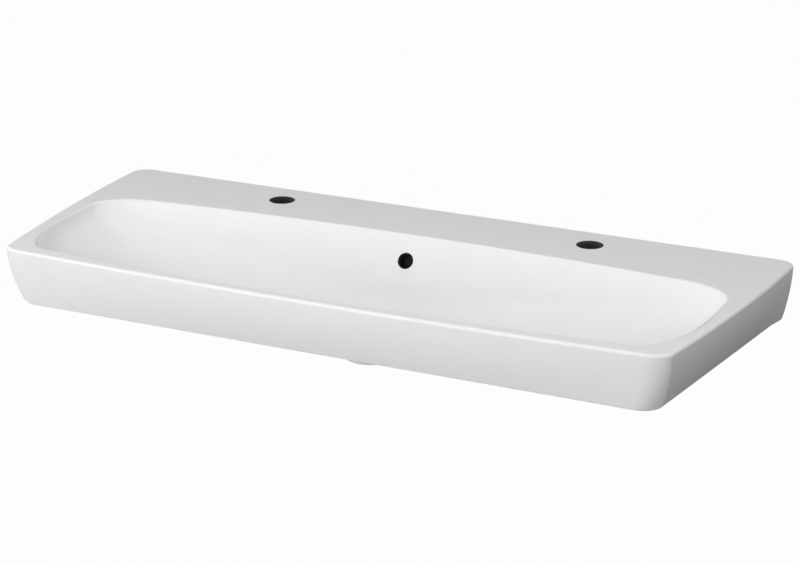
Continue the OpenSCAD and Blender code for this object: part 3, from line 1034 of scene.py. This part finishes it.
    def bowl_rings(self) -> list[Ring]:
        """Gives the bowl's rings, from the drain up to the deck.

        Returns:
            The rings.
        """
        s = self.sizes
        floors, walls, edges = 3 * self.fineness, 10 * self.fineness, 3 * self.fineness
        flat_r = s.flange_seat_r + s.upper_flat
        rings = [self.floor_ring(i / floors, flat_r, 0) for i in range(floors, 0, -1)]
        drop, out = (share * s.rim_r for share in self.lip_share)
        for i in range(walls + 1):
            k = mix(self.floor_share, drop / s.bowl_depth, i / walls)
            rings.append(self.ring(lambda h, k=k: (*self.bowl_point(h, k, 0), -k * s.bowl_depth)))
        for i in range(1, edges + 1):

            def edge_half(h: int, t: float = i / edges) -> Point:
                """Gives the point of one column.

                Args:
                    h: The column.
                    t: How far round the edge it is.

                Returns:
                    The point.
                """
                foot = (*self.bowl_point(h, drop / s.bowl_depth, 0), -drop)
                rim, deck = (*self.bowl_point(h, 0, 0), 0.0), (*self.bowl_point(h, 0, out), 0.0)
                return round_corner(rim, foot, deck, t)

            rings.append(self.ring(edge_half))
        return rings

    def outer_rings(self) -> list[Ring]:
        """Gives the outside's rings, from the deck down to the foot.

        Returns:
            The rings.
        """
        s = self.sizes
        edges, sides = 3 * self.fineness, 7 * self.fineness
        rings = []
        for i in range(edges + 1):
            a = math.pi / 2 * i / edges
            inset, z = s.edge_r * (1 - math.sin(a)), -s.edge_r * (1 - math.cos(a))
            rings.append(self.ring(lambda h, n=inset, z=z: (*self.outer_point(h, 0, n, n), z)))
        for i in range(1, sides + 1):
            z = mix(-s.edge_r, s.foot_r - s.body_h, i / sides)
            rings.append(self.ring(lambda h, z=z: (*self.outer_point(h, self.lean(z), 0, 0), z)))
        for i in range(1, edges + 1):
            a = math.pi / 2 * i / edges
            inset, z = s.foot_r * (1 - math.cos(a)), s.foot_r * (1 - math.sin(a)) - s.body_h
            rings.append(self.ring(lambda h, n=inset, z=z: (*self.outer_point(h, 1, n, n), z)))
        return rings

    def roof_z(self, h: int) -> float:
        """Gives the height of the underside's roof, which drops to the solid strip in front.

        Args:
            h: Column, from the middle of the wall to the middle of the front.

        Returns:
            Its height.
        """
        s = self.sizes
        step = self.fineness
        t = (h - self.side_end + step) / (self.corner_end - self.side_end + step)
        return -mix(s.deck_t, s.front_solid, ease(t))

    def under_rings(self) -> list[Ring]:
        """Gives the underside's rings, from the foot over the roof to the flat round the outlet.

        Returns:
            The rings.
        """
        s = self.sizes
        inner, belly, floors = 2 * self.fineness, 9 * self.fineness, 3 * self.fineness
        rings = []
        for i in range(inner + 1):

            def inner_half(h: int, t: float = i / inner) -> Point:
                """Gives the point of one column."""
                z = mix(-s.body_h, self.roof_z(h), t)
                return *self.outer_point(h, self.lean(z), s.apron_t, s.rear_t), z

            rings.append(self.ring(inner_half))
        for i in range(belly + 1):

            def belly_half(h: int, t: float = i / belly) -> Point:
                """Gives the point of one column."""
                k = mix((-self.roof_z(h) - s.floor_t) / s.bowl_depth, self.floor_share, t)
                return *self.bowl_point(h, k, s.bowl_t), -k * s.bowl_depth - s.floor_t

            rings.append(self.ring(belly_half))
        flat_r = s.outlet_r + s.lower_flat
        return rings + [self.floor_ring(i / floors, flat_r, s.bowl_t) for i in range(1, floors + 1)]

    def behind_wall(self, z: float, out: float) -> tuple[float, float]:
        """Gives a point behind the bowl's rear wall.

        Args:
            z: Its height.
            out: Its distance behind the bowl's surface.

        Returns:
            Y and Z.
        """
        s = self.sizes
        tilt = math.atan(s.rear_slope)
        return out / math.cos(tilt) - s.tap_deck + s.rear_slope * z, z

    def channel_outline(self, near: float, far: float, skin: float) -> Profile:
        """Gives the outline of the overflow channel, or of the rib that holds it.

        Args:
            near: Distance of the front side behind the bowl's surface.
            far: Distance of the rear side.
            skin: Thickness outside the channel, or 0 for the channel itself.

        Returns:
            Y and Z of the outline's corners.
        """
        s = self.sizes
        roof = -s.bowl_depth - s.flange_seat_t - s.channel_skin
        floor = roof - s.channel_t + 1
        turn = -s.bowl_depth * self.floor_share
        top = -s.deck_t / 2 if skin else s.overflow_r - s.overflow_drop
        inside = (s.outlet_r if skin else s.bore_r) / 2 + DRAIN_Y
        under = -s.bowl_depth - s.floor_t / 2 if skin else roof
        near_turn, far_turn, turn_skin = 16, 24, 4 if skin else 0
        return [
            self.behind_wall(top, near),
            self.behind_wall(turn, near),
            (s.bore_r + near_turn - turn_skin + DRAIN_Y, under),
            (inside, under),
            (inside, floor - skin),
            (s.bore_r + far_turn + turn_skin + DRAIN_Y, floor - skin),
            self.behind_wall(turn, far),
            self.behind_wall(top, far),
        ]

    def additions(self) -> list[Piece]:
        """Makes the rib behind the overflow, the ring round the outlet and the pads at the wall.

        Returns:
            The solids that are joined to the china.
        """
        s = self.sizes
        near = s.bowl_t + s.channel_inset
        rib = self.channel_outline(s.bowl_t / 2, near + s.channel_t + s.channel_skin, s.channel_skin)
        solids = [bar("rib", rib, s.channel_w + 2 * s.channel_skin)]
        round_edges(solids[0], 4, angle=60)
        root, spread, steps = -s.bowl_depth - s.floor_t, s.outlet_flare, 8
        profile = [(0.0, -s.outlet_drop)]
        profile += reversed(flare(s.outlet_r, -s.outlet_drop, -s.outlet_round, s.outlet_round, steps))
        profile += flare(s.outlet_r, root, spread, -spread, steps)
        profile += [(s.outlet_r + spread, root + s.floor_t / 2), (0.0, root + s.floor_t / 2)]
        solids.append(loft("outlet_ring", turned(profile, 128), capped=False))
        root, top = s.rear_t / 2, s.rear_t + s.fixing_pad_t
        pad = softened(slab(0.0, s.fixing_pad_r, root, top, 0, 0, s.fixing_pad_round, 0))
        solids.append(turned_at_wall("pad", pad, 96, -s.fixing_x))
        return [*solids, twin(solids[-1], 2 * s.fixing_x)]

    def cuts(self) -> list[Piece]:
        """Makes the solids that the holes, seats and the overflow's channel are cut with.

        Returns:
            The solids that are removed from it.
        """
        s = self.sizes
        past, steps = 1.0, 6
        solids = []
        tap = [(0.0, past), (s.tap_r + s.tap_edge_r + past, past)]
        tap += reversed(flare(s.tap_r, 0, s.tap_edge_r, -s.tap_edge_r, steps))
        tap += [
            (s.tap_r, -s.tap_seat_t),
            (s.tap_seat_r, -s.tap_seat_t),
            (s.tap_seat_r, -s.deck_t - past),
            (0.0, -s.deck_t - past),
        ]
        solids.append(loft("tap_hole", turned(tap, 128, (-s.tap_x, -s.tap_y)), capped=False))
        solids.append(twin(solids[-1], 2 * s.tap_x))
        rim = s.overflow_edge_r
        hole = [(0.0, past), (s.overflow_r + rim + past, past)]
        hole += reversed(flare(s.overflow_r, 0, rim, -rim, steps))
        depth = s.bowl_t + s.channel_t / 2
        hole += [(s.overflow_r, -depth), (0.0, -depth)]
        y, z = self.behind_wall(-s.overflow_drop, 0)
        tilt = Matrix.Rotation(math.pi / 2 - math.atan(s.rear_slope), 3, "X")
        rings = aimed(turned(hole, 96, (0, 0)), (0, y, z), tilt)
        solids.append(loft("overflow_hole", rings, capped=False))
        near = s.bowl_t + s.channel_inset
        outline = self.channel_outline(near, near + s.channel_t, 0)
        solids.append(bar("channel", outline, s.channel_w))
        wall = s.rear_t + s.fixing_pad_t
        foot, roof = -s.outlet_drop - past, s.nut_pocket_h - s.outlet_drop
        seat, top = -s.bowl_depth - s.flange_seat_t, past - s.bowl_depth
        bore = [(0, foot), (s.nut_pocket_r, foot), (s.nut_pocket_r, roof), (s.bore_r, roof)]
        bore += [(s.bore_r, seat), (s.flange_seat_r, seat), (s.flange_seat_r, top), (0, top)]
        solids.append(lathe("bore", bore, self.bore_columns))
        fixing = [(0.0, -past), (s.fixing_r, -past), (s.fixing_r, wall + past), (0.0, wall + past)]
        solids.append(turned_at_wall("fixing_hole", fixing, self.fixing_columns, -s.fixing_x))
        return [*solids, twin(solids[-1], 2 * s.fixing_x)]

    def build(self) -> None:
        """Builds the whole china, joins its rib, ring and pads to it and cuts its holes."""
        glazed = self.bowl_rings() + self.outer_rings()
        basin = loft("china", glazed + self.under_rings())
        # The second clay is painted shade, all but black, for the walls of the tap holes, the overflow
        # and its channel.
        clay, hole_shade = BARE_CLAY.material(), HOLE_PAINTED_SHADE.material()
        basin.data.materials.append(self.shop.material(Slot.CHINA))
        basin.data.materials.append(clay)
        # Each ring gave one band of faces, and the bowl's floor is the only glazed face after them.
        bands = (len(glazed) - 1) * 2 * self.half_n
        floor_z = place((0, 0, -self.sizes.bowl_depth - 1))[2]
        for face in basin.data.polygons:
            bowl_floor = len(face.vertices) > 4 and face.center.z > floor_z
            face.material_index = int(face.index >= bands and not bowl_floor)
        for cut, solids in ((Cut.JOIN, self.additions()), (Cut.REMOVE, self.cuts())):
            for solid in solids:
                finish = clay
                if solid.name == "outlet_ring":
                    finish = self.shop.material(Slot.CHINA)
                # The walls of the tap holes, the overflow and its channel take the near-black painted
                # shade.
                elif solid.name.startswith(("tap_hole", "overflow_hole", "channel")):
                    finish = hole_shade
                solid.data.materials.append(finish)
                work(basin, solid, cut)
        self.shop.fit(basin, "basin", "basin", Slot.CHINA)


@dataclass
class WallBushes:
    """The two ribbed bushes in the wall-fixing holes, through which the wall studs pass."""

    shop: Workshop
    spacing: float = 880.0
    body_r: float = 13.95
    collar_r: float = 20.0
    bore_r: float = 6.0
    wall_t: float = 24.0
    collar_t: float = 4.0
    ribs: int = 5
    rib_h: float = 0.7
    lead: float = 1.0

    def build(self) -> None:
        """Builds one bush and copies it to the other hole."""
        top, root = self.wall_t + self.collar_t, self.body_r - self.rib_h
        corners = [(self.bore_r, 0.0, 0.8), (root, 0.0, 0.8)]
        pitch = (self.wall_t - 2 * self.lead) / self.ribs
        for i in range(self.ribs):
            foot = self.lead + i * pitch
            for r, share in ((root, 0.3), (self.body_r, 0.5), (self.body_r, 0.8), (root, 1)):
                corners.append((r, foot + share * pitch, 0.3))
        corners += [(root, self.wall_t, 0), (self.collar_r, self.wall_t, 0.5)]
        corners += [(self.collar_r, top, 1.2), (self.bore_r + 4, top, 0.5)]
        corners += [(self.bore_r + 3, top - 0.8, 0.5), (self.bore_r, top - 0.8, 0.6)]
        profile = softened(corners)
        left = turned_at_wall("left_bush", [*profile, profile[0]], 80, -self.spacing / 2)
        right = twin(left, self.spacing)
        right.name = right.data.name = "right_bush"
        for bush in (left, right):
            self.shop.fit(bush, "wall_bushes", "basin", Slot.BUSH)


@dataclass
class Waste:
    """The slotted waste with its seals, slip washer and lock nut."""

    shop: Workshop
    seat_z: float = -106.0
    flange_r: float = 33.0
    flange_t: float = 2.0
    tail_r: float = 20.95
    tail_z: float = -156.5
    bore_r: float = 18.5
    cone: float = 2.0
    # A G 1 1/4 thread has 11 turns to the inch.
    pitch: float = 25.4 / 11
    thread_top: float = -125.6
    flange_edge: float = 0.9
    window_w: float = 20.0
    window_round: float = 3.5
    window: tuple[float, float] = (-124.5, -116.5)
    hub: tuple[float, float] = (-134.5, -127.5)
    hub_r: float = 11.5
    hub_round: float = 0.6
    hub_bore_r: float = 9.05
    leg: tuple[float, float] = (-133.5, -128.5)
    leg_w: float = 3.0
    seal: tuple[float, float] = (-109.5, -108.0)
    seal_bore_r: float = 23.5
    lower_seal_z: float = -136.0
    lower_seal_r: float = 30.0
    lower_seal_t: float = 4.0
    cone_top: float = -127.0
    washer_r: float = 29.0
    washer_t: float = 1.5
    nut_flats: float = 50.0
    nut_t: float = 8.0
    grip: float = 0.05

    def body(self) -> None:
        """Builds the flange and the threaded tail, with the windows and the spider in it."""
        bore, seat, under = self.bore_r, self.seat_z, self.seat_z - self.flange_t
        inner = [(bore + 0.5, self.tail_z), (bore, self.tail_z + 0.5), (bore, seat - self.cone - 0.4)]
        flange = [(bore + 0.3, seat - self.cone + 0.1, 0), (bore + self.cone, seat, 0.8)]
        flange += [(self.flange_r, seat, self.flange_edge), (self.flange_r, under, 0.3)]
        inner += softened([*flange, (self.tail_r, under, 0)])
        threaded = thread(self.tail_r, self.tail_z + 0.6, self.thread_top, self.pitch, 96)
        end = [(self.tail_r - 0.6, self.tail_z)]
        start = turned(inner)
        rings = [*start, *reversed(threaded), *turned(end), start[0]]
        body = loft("waste_tail", rings, capped=False)
        reach = self.bore_r + 1
        additions = [lathe("hub", [(0, self.hub[0]), *self.hub_side(), (0, self.hub[1])])]
        middle, half = DRAIN_Y, self.leg_w / 2
        legs = slab(middle - half, middle + half, *self.leg, self.hub_round)
        additions += [bar("leg", softened(legs, 3), 2 * reach, turn) for turn in (45, 135)]
        for solid in additions:
            work(body, solid, Cut.JOIN)
        half = self.window_w / 2
        window = slab(middle - half, middle + half, *self.window, self.window_round)
        cuts = [bar("window", softened(window, 5), 3 * self.tail_r, turn) for turn in (0, 90)]
        past = 1.0
        hole = softened(slab(0, self.hub_bore_r, self.hub[0] - past, self.hub[1] + past, 0))
        for solid in [*cuts, lathe("hub_bore", hole)]:
            work(body, solid, Cut.REMOVE)
        self.shop.fit(body, "waste_body", "basin", Slot.CHROME)

    def hub_side(self) -> Profile:
        """Gives the side of the spider's hub, with its edges rounded."""
        return softened(slab(0, self.hub_r, *self.hub, 0, self.hub_round, self.hub_round, 0))[1:-1]

    def ring(self, name: str, corners: Corners, slot: Slot) -> None:
        """Turns a plain ring and puts it in the place of the node of its name."""
        self.shop.turn(name + "_ring", corners, name, "basin", slot)

    def seals(self) -> None:
        """Builds the gasket below the flange, the cone seal and the slip washer."""
        gasket = slab(self.seal_bore_r, self.flange_r, *self.seal, 0.3, 0.5, 0.5, 0.3)
        self.ring("flange_seal", gasket, Slot.RUBBER)
        bore, foot = self.tail_r + self.grip, self.lower_seal_z
        roof = foot + self.lower_seal_t
        cone = [(bore, foot, 0.3), (self.lower_seal_r, foot, 0.7), (self.lower_seal_r, roof, 0.7)]
        cone += [(bore + 1.45, roof, 0.3), (bore + 0.6, self.cone_top, 0.25), (bore, self.cone_top, 0.2)]
        self.ring("lower_seal", cone, Slot.RUBBER)
        washer = slab(bore, self.washer_r, foot - self.washer_t, foot, 0.2, 0.4, 0.4, 0.2)
        self.ring("slip_washer", washer, Slot.WASHER)

    def nut(self) -> None:
        """Builds the hexagon lock nut with a chamfered bore."""
        high, bore = self.lower_seal_z - self.washer_t, self.tail_r + self.grip
        nut = hexagon_nut("tail_nut", self.nut_flats, bore, high - self.nut_t, high, 2.2, 1)
        self.shop.fit(nut, "lock_nut", "basin", Slot.BRASS, 20)

    def build(self) -> None:
        """Builds the whole waste."""
        self.body()
        self.seals()
        self.nut()


@dataclass
class ClickUnit:
    """The push-open unit in the waste: a sleeve, a spring, a cam ring and a plunger on the stem."""

    shop: Workshop
    foot: float = -146.0
    sleeve_top: float = -112.0
    sleeve_r: float = 9.0
    sleeve_bore_r: float = 7.0
    collar: tuple[float, float] = (-127.5, -124.5)
    collar_r: float = 11.5
    cap_t: float = 2.5
    spigot_r: float = 4.47
    spigot_h: float = 2.0
    wire_r: float = 0.6
    coil_r: float = 5.15
    coils: int = 6
    cam: tuple[float, float] = (-126.0, -121.0)
    slide_r: float = 6.92
    cam_slots: int = 8
    slot_w: float = 1.6
    slot_depth: float = 1.2
    plunger_top: float = -104.0
    stem: tuple[float, float] = (-113.0, -92.3)
    stem_r: float = 4.0
    grip: float = 0.05
    stem_pitch: float = 1.25
    nut_flats: float = 11.0
    nut_t: float = 4.0
    travel: float = 8.0
    sleeve_grooves: tuple[float, ...] = (-137.0, -134.0)
    plunger_grooves: tuple[float, ...] = (-118.0, -115.5)
    tooth_h: float = 0.9
    tooth_l: float = 2.4
    tooth_w: float = 2.6
    tooth_at: float = 1.3

    @staticmethod
    def grooves(r: float, heights: Sequence[float], depth: float, half: float) -> Corners:
        """Gives the corners of grooves with sloping sides.

        Args:
            r: Radius of the surface that they are in.
            heights: Heights of their middles.
            depth: Their depth.
            half: Half the width of their floors.

        Returns:
            The corners with their roundings.
        """
        side = half + 0.3
        steps = ((r, -side), (r - depth, -half), (r - depth, half), (r, side))
        return [(x, z + step, 0.1) for z in heights for x, step in steps]

    def sleeve(self) -> None:
        """Builds the sleeve with the collar that it hangs by, and the cap in its foot."""
        low, high = self.collar
        r, bore, top = self.sleeve_r, self.sleeve_bore_r, self.sleeve_top
        outline = [(bore, self.foot, 0.3), (r, self.foot, 0.6)]
        outline += self.grooves(r, self.sleeve_grooves, 0.3, 0.2)
        outline += [(r, low, 0), (self.collar_r, low, 0.5), (self.collar_r, high, 0.5), (r, high, 0.2)]
        outline += [(r, top, 0.6), (bore, top, 0.5)]
        self.shop.turn("guide_sleeve", outline, "click_sleeve", "basin", Slot.CLICK)
        r, z = bore - self.grip, self.foot
        cap_top = z + self.cap_t
        outline = [(0, z + 0.6, 0), (1.4, z + 0.6, 0.3), (2.0, z, 0.3), (r, z, 0.5), (r, cap_top, 0.3)]
        outline += [(self.spigot_r, cap_top, 0.2), (self.spigot_r, cap_top + self.spigot_h, 0.6)]
        outline.append((0, cap_top + self.spigot_h, 0))
        self.shop.turn("foot_cap", outline, "sleeve_end_cap", "basin", Slot.CLICK, 64)

    def spring(self) -> None:
        """Builds the spring as a coil of wire, which shortens as the plug goes down."""
        foot = self.foot + self.cap_t
        wire = loft("coil_spring", coil(self.coil_r, self.wire_r, foot, self.cam[0], self.coils))
        spring = self.shop.fit(wire, "click_spring", "basin", Slot.SPRING, 60)
        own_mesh(spring)

    def cam_wheel(self) -> None:
        """Builds the cam ring, with water slots round it and a crown of teeth on top."""
        (low, high), r = self.cam, self.slide_r
        wheel = lathe("cam_wheel", softened(slab(0, r, low, high, 0, 0.4, 0.2, 0)))
        cuts = []
        for i in range(self.cam_slots):
            a = 2 * math.pi * i / self.cam_slots
            turn = Matrix.Rotation(a, 3, "Z")
            half, near = self.slot_w / 2, r - self.slot_depth
            edge = [(near, -half), (r + 1, -half), (r + 1, half), (near, half)]
            rings = [[(x, y, z) for x, y in edge] for z in (low - 1, high + 1)]
            cuts.append(loft("slot", aimed(rings, (0, DRAIN_Y, 0), turn)))
            # Each tooth slopes up one way and drops straight at its end.
            side = [(0.0, high - self.tooth_h), (self.tooth_l, high + 1), (0.0, high + 1)]
            ends = (r - self.tooth_w, r + 1)
            rings = [[(x, y + self.tooth_at, z) for y, z in side] for x in ends]
            cuts.append(loft("tooth_gap", aimed(rings, (0, DRAIN_Y, 0), turn)))
        for solid in cuts:
            work(wheel, solid, Cut.REMOVE)
        self.shop.fit(wheel, "cam_ring", "cam", Slot.CAM)

    def moving(self) -> None:
        """Builds the plunger, the stem's nut and the stem, which move with the plug."""
        r, low, high = self.slide_r, self.cam[1], self.plunger_top
        bore, drilled = self.stem_r + self.grip, self.stem[0]
        outline = [(0, low, 0), (r, low, 0.4)]
        outline += self.grooves(r, self.plunger_grooves, 0.5, 0.4)
        outline += [(r, high, 0.7), (bore + 0.4, high, 0.1), (bore, high - 0.4, 0.1)]
        outline += [(bore, drilled, 0.1), (0, drilled, 0)]
        self.shop.turn("push_plunger", outline, "plunger", "plug", Slot.CLICK, 80)
        low, high = high, high + self.nut_t
        nut = hexagon_nut("stem_nut", self.nut_flats, bore, low, high, 0.6, 0.5)
        self.shop.fit(nut, "stem_lock_nut", "plug", Slot.BRASS, 20)
        low, high = self.stem
        threaded = thread(self.stem_r, low + 0.4, high - 0.4, self.stem_pitch, 48)
        ends = [turned([(self.stem_r - 0.4, z)], 48) for z in (low, high)]
        stem = loft("threaded_stem", [*ends[0], *threaded, *ends[1]])
        self.shop.fit(stem, "plug_stem", "plug", Slot.BRASS, 60)

    def build(self) -> None:
        """Builds the whole unit."""
        self.sleeve()
        self.spring()
        self.cam_wheel()
        self.moving()


@dataclass
class Plug:
    """The domed plug over the waste, with the seal under it."""

    shop: Workshop
    seal: tuple[float, float] = (-97.8, -95.3)
    seal_r: float = 23.0
    bore_r: float = 4.05
    cap_r: float = 31.0
    edge_t: float = 1.0
    top: float = -90.3
    bore_top: float = -92.3

    def build(self) -> None:
        """Builds the seal and the cap."""
        low, foot = self.seal
        outline = [(self.bore_r, low, 0.3), (self.seal_r - 1.2, low, 0.5), (self.seal_r, low + 0.9, 0.4)]
        outline += [(self.seal_r, foot, 0.3), (self.bore_r, foot, 0.3)]
        self.shop.turn("plug_gasket", outline, "plug_seal", "plug", Slot.RUBBER)
        rise = self.top - foot - self.edge_t
        dome_r = (self.cap_r**2 + rise**2) / (2 * rise)
        edge, steps = math.asin(self.cap_r / dome_r), 24
        profile = [(0, self.bore_top), (self.bore_r, self.bore_top), (self.bore_r, foot + 0.3)]
        turn = edge * 0.94
        brim = [(self.bore_r + 0.3, foot, 0), (self.cap_r, foot, 0.4)]
        brim.append((self.cap_r, foot + self.edge_t, 0.4))
        brim.append((dome_r * math.sin(turn), self.top - dome_r * (1 - math.cos(turn)), 0))
        profile += softened(brim)
        for i in range(steps - 2, -1, -1):
            a = edge * i / steps
            profile.append((dome_r * math.sin(a), self.top - dome_r * (1 - math.cos(a))))
        cap = lathe("domed_cap", profile, 128)
        self.shop.fit(cap, "plug_cap", "plug", Slot.CHROME)


@dataclass(frozen=True)
class Lamp:
    """A square soft lamp that faces the basin, and that no reflection shows."""

    name: str
    azimuth: float
    elevation: float
    power: float
    distance: float = 3.3
    size: float = 2.4
    aim: Point = (0, -0.25, 0)

    def hang(self) -> None:
        """Hangs the lamp. Its azimuth is in degrees from the front, towards the right."""
        data = bpy.data.lights.new(self.name, "AREA")
        data.size = self.size
        data.energy = self.power
        lamp = bpy.data.objects.new(self.name, data)
        bpy.context.scene.collection.objects.link(lamp)
        turn, tilt = math.radians(self.azimuth), math.radians(self.elevation)
        way = Vector((math.cos(tilt) * math.sin(turn), -math.cos(tilt) * math.cos(turn), math.sin(tilt)))
        lamp.location = Vector(self.aim) + way * self.distance
        lamp.visible_glossy = False
        lamp.rotation_euler = (-way).to_track_quat("-Z", "Y").to_euler()


@dataclass
class Studio:
    """The pale floor, the white surroundings, a black flag, the soft lamps and the camera."""

    rim_height: float = 0.85
    floor_size: float = 60.0
    floor_tint: str = "#4A4A4A"
    floor_white: float = 0.98
    flag_half: float = 2.0
    flag_y: float = 0.5
    flag_top: float = 0.45
    flag_tint: str = "#101010"
    lens: float = 101.181
    camera_at: Point = (1.46588, -3.27982, 1.16088)
    camera_turn: Point = (70.9324, -0.2127, 25.4187)
    lamps: tuple[Lamp, ...] = (
        Lamp("left_lamp", -90, 12, 25),
        Lamp("front_left_lamp", -20, 12, 57),
        Lamp("front_lamp", 4, 12, 43),
        Lamp("right_lamp", 110, 12, 43),
        Lamp("high_left_lamp", -90, 62, 27),
        Lamp("high_right_lamp", 90, 62, 27),
        Lamp("rear_lamp", 180, 62, 21),
    )

    def camera(self) -> None:
        """Sets the camera where the photograph was taken from."""
        data = bpy.data.cameras.new("camera")
        data.lens = self.lens
        data.sensor_width = 36.0
        data.clip_end = 100.0
        camera = bpy.data.objects.new("camera", data)
        bpy.context.scene.collection.objects.link(camera)
        camera.location = self.camera_at
        camera.rotation_euler = Euler(math.radians(a) for a in self.camera_turn)
        bpy.context.scene.camera = camera

    @property
    def ground(self) -> float:
        """Gives the floor's height in metres."""
        return RIM_Z * MM - self.rim_height

    @staticmethod
    def seen(tree: Tree) -> Socket:
        """Tells the rays that see the surroundings straight, in a reflection or through glass.

        Args:
            tree: The node tree.

        Returns:
            1 for such rays and 0 for all others.
        """
        path = add_node(tree, "LightPath").outputs
        links = {0: path["Is Camera Ray"], 1: path["Is Glossy Ray"]}
        either = add_node(tree, "Math", links=links, operation="MAXIMUM").outputs[0]
        links = {0: either, 1: path["Is Transmission Ray"]}
        return add_node(tree, "Math", links=links, operation="MAXIMUM").outputs[0]

    def world(self) -> None:
        """Surrounds the scene with white, which sheds no light and shows only to rays that see it."""
        world = bpy.data.worlds.new("studio")
        bpy.context.scene.world = world
        world.use_nodes = True
        tree = world.node_tree
        background = tree.nodes["Background"]
        background.inputs["Color"].default_value = (1, 1, 1, 1)
        tree.links.new(self.seen(tree), background.inputs["Strength"])

    def floor(self) -> None:
        """Lays the pale floor, which shows as white and still takes the basin's faint shadow."""
        deselect()
        bpy.ops.mesh.primitive_plane_add(size=self.floor_size, location=(0, 0, self.ground))
        floor = bpy.context.active_object
        floor.name = "floor"
        made = bpy.data.materials.new("painted_floor")
        made.use_nodes = True
        tree = made.node_tree
        tree.nodes.clear()
        paint = add_node(tree, "BsdfDiffuse", {"Color": colour(self.floor_tint)})
        white = add_node(tree, "Emission", {"Color": (1, 1, 1, 1), "Strength": 1.0})
        share = add_node(tree, "Math", {1: self.floor_white}, {0: self.seen(tree)}, operation="MULTIPLY")
        links = {0: share.outputs[0], 1: paint.outputs[0], 2: white.outputs[0]}
        surface = add_node(tree, "MixShader", links=links)
        # From beneath, the floor is clear, so that the basin's underside can be looked at.
        beneath = add_node(tree, "NewGeometry").outputs["Backfacing"]
        clear = add_node(tree, "BsdfTransparent")
        links = {0: beneath, 1: surface.outputs[0], 2: clear.outputs[0]}
        either = add_node(tree, "MixShader", links=links)
        add_node(tree, "OutputMaterial", links={"Surface": either.outputs[0]})
        floor.data.materials.append(made)

    def flag(self) -> None:
        """Stands a long black flag behind the basin, which the camera doesn't see.

        It keeps the white surroundings out of the reflections in the deck and in the right flank.
        """
        deselect()
        bpy.ops.mesh.primitive_plane_add(size=1, location=(0, 0, 0))
        flag = bpy.context.active_object
        flag.name = "flag"
        half, low, high = self.flag_half, self.ground, self.flag_top
        corners = [(-half, low), (half, low), (half, high), (-half, high)]
        order = sorted(flag.data.vertices, key=lambda v: math.atan2(v.co.y, v.co.x))
        for vertex, (x, z) in zip(order, corners):
            vertex.co = (x, self.flag_y, z)
        cloth = Finish("black_flag_cloth", self.flag_tint, self.flag_tint, 1.0)
        flag.data.materials.append(cloth.material())
        flag.visible_camera = False

    def build(self) -> None:
        """Builds the studio."""
        self.camera()
        self.world()
        self.floor()
        self.flag()
        for lamp in self.lamps:
            lamp.hang()
        bpy.context.scene.view_settings.view_transform = "Standard"


def main() -> None:
    """Builds the basin, its waste and the studio."""
    logging.basicConfig(level=logging.INFO, format="%(name)s: %(message)s")
    shop = Workshop()
    for assembly in (ChinaBasin, WallBushes, Waste, ClickUnit, Plug):
        LOG.info("building: %s", assembly.__doc__.split(":")[0])
        assembly(shop).build()
    Studio().build()


if __name__ == "__main__":
    main()
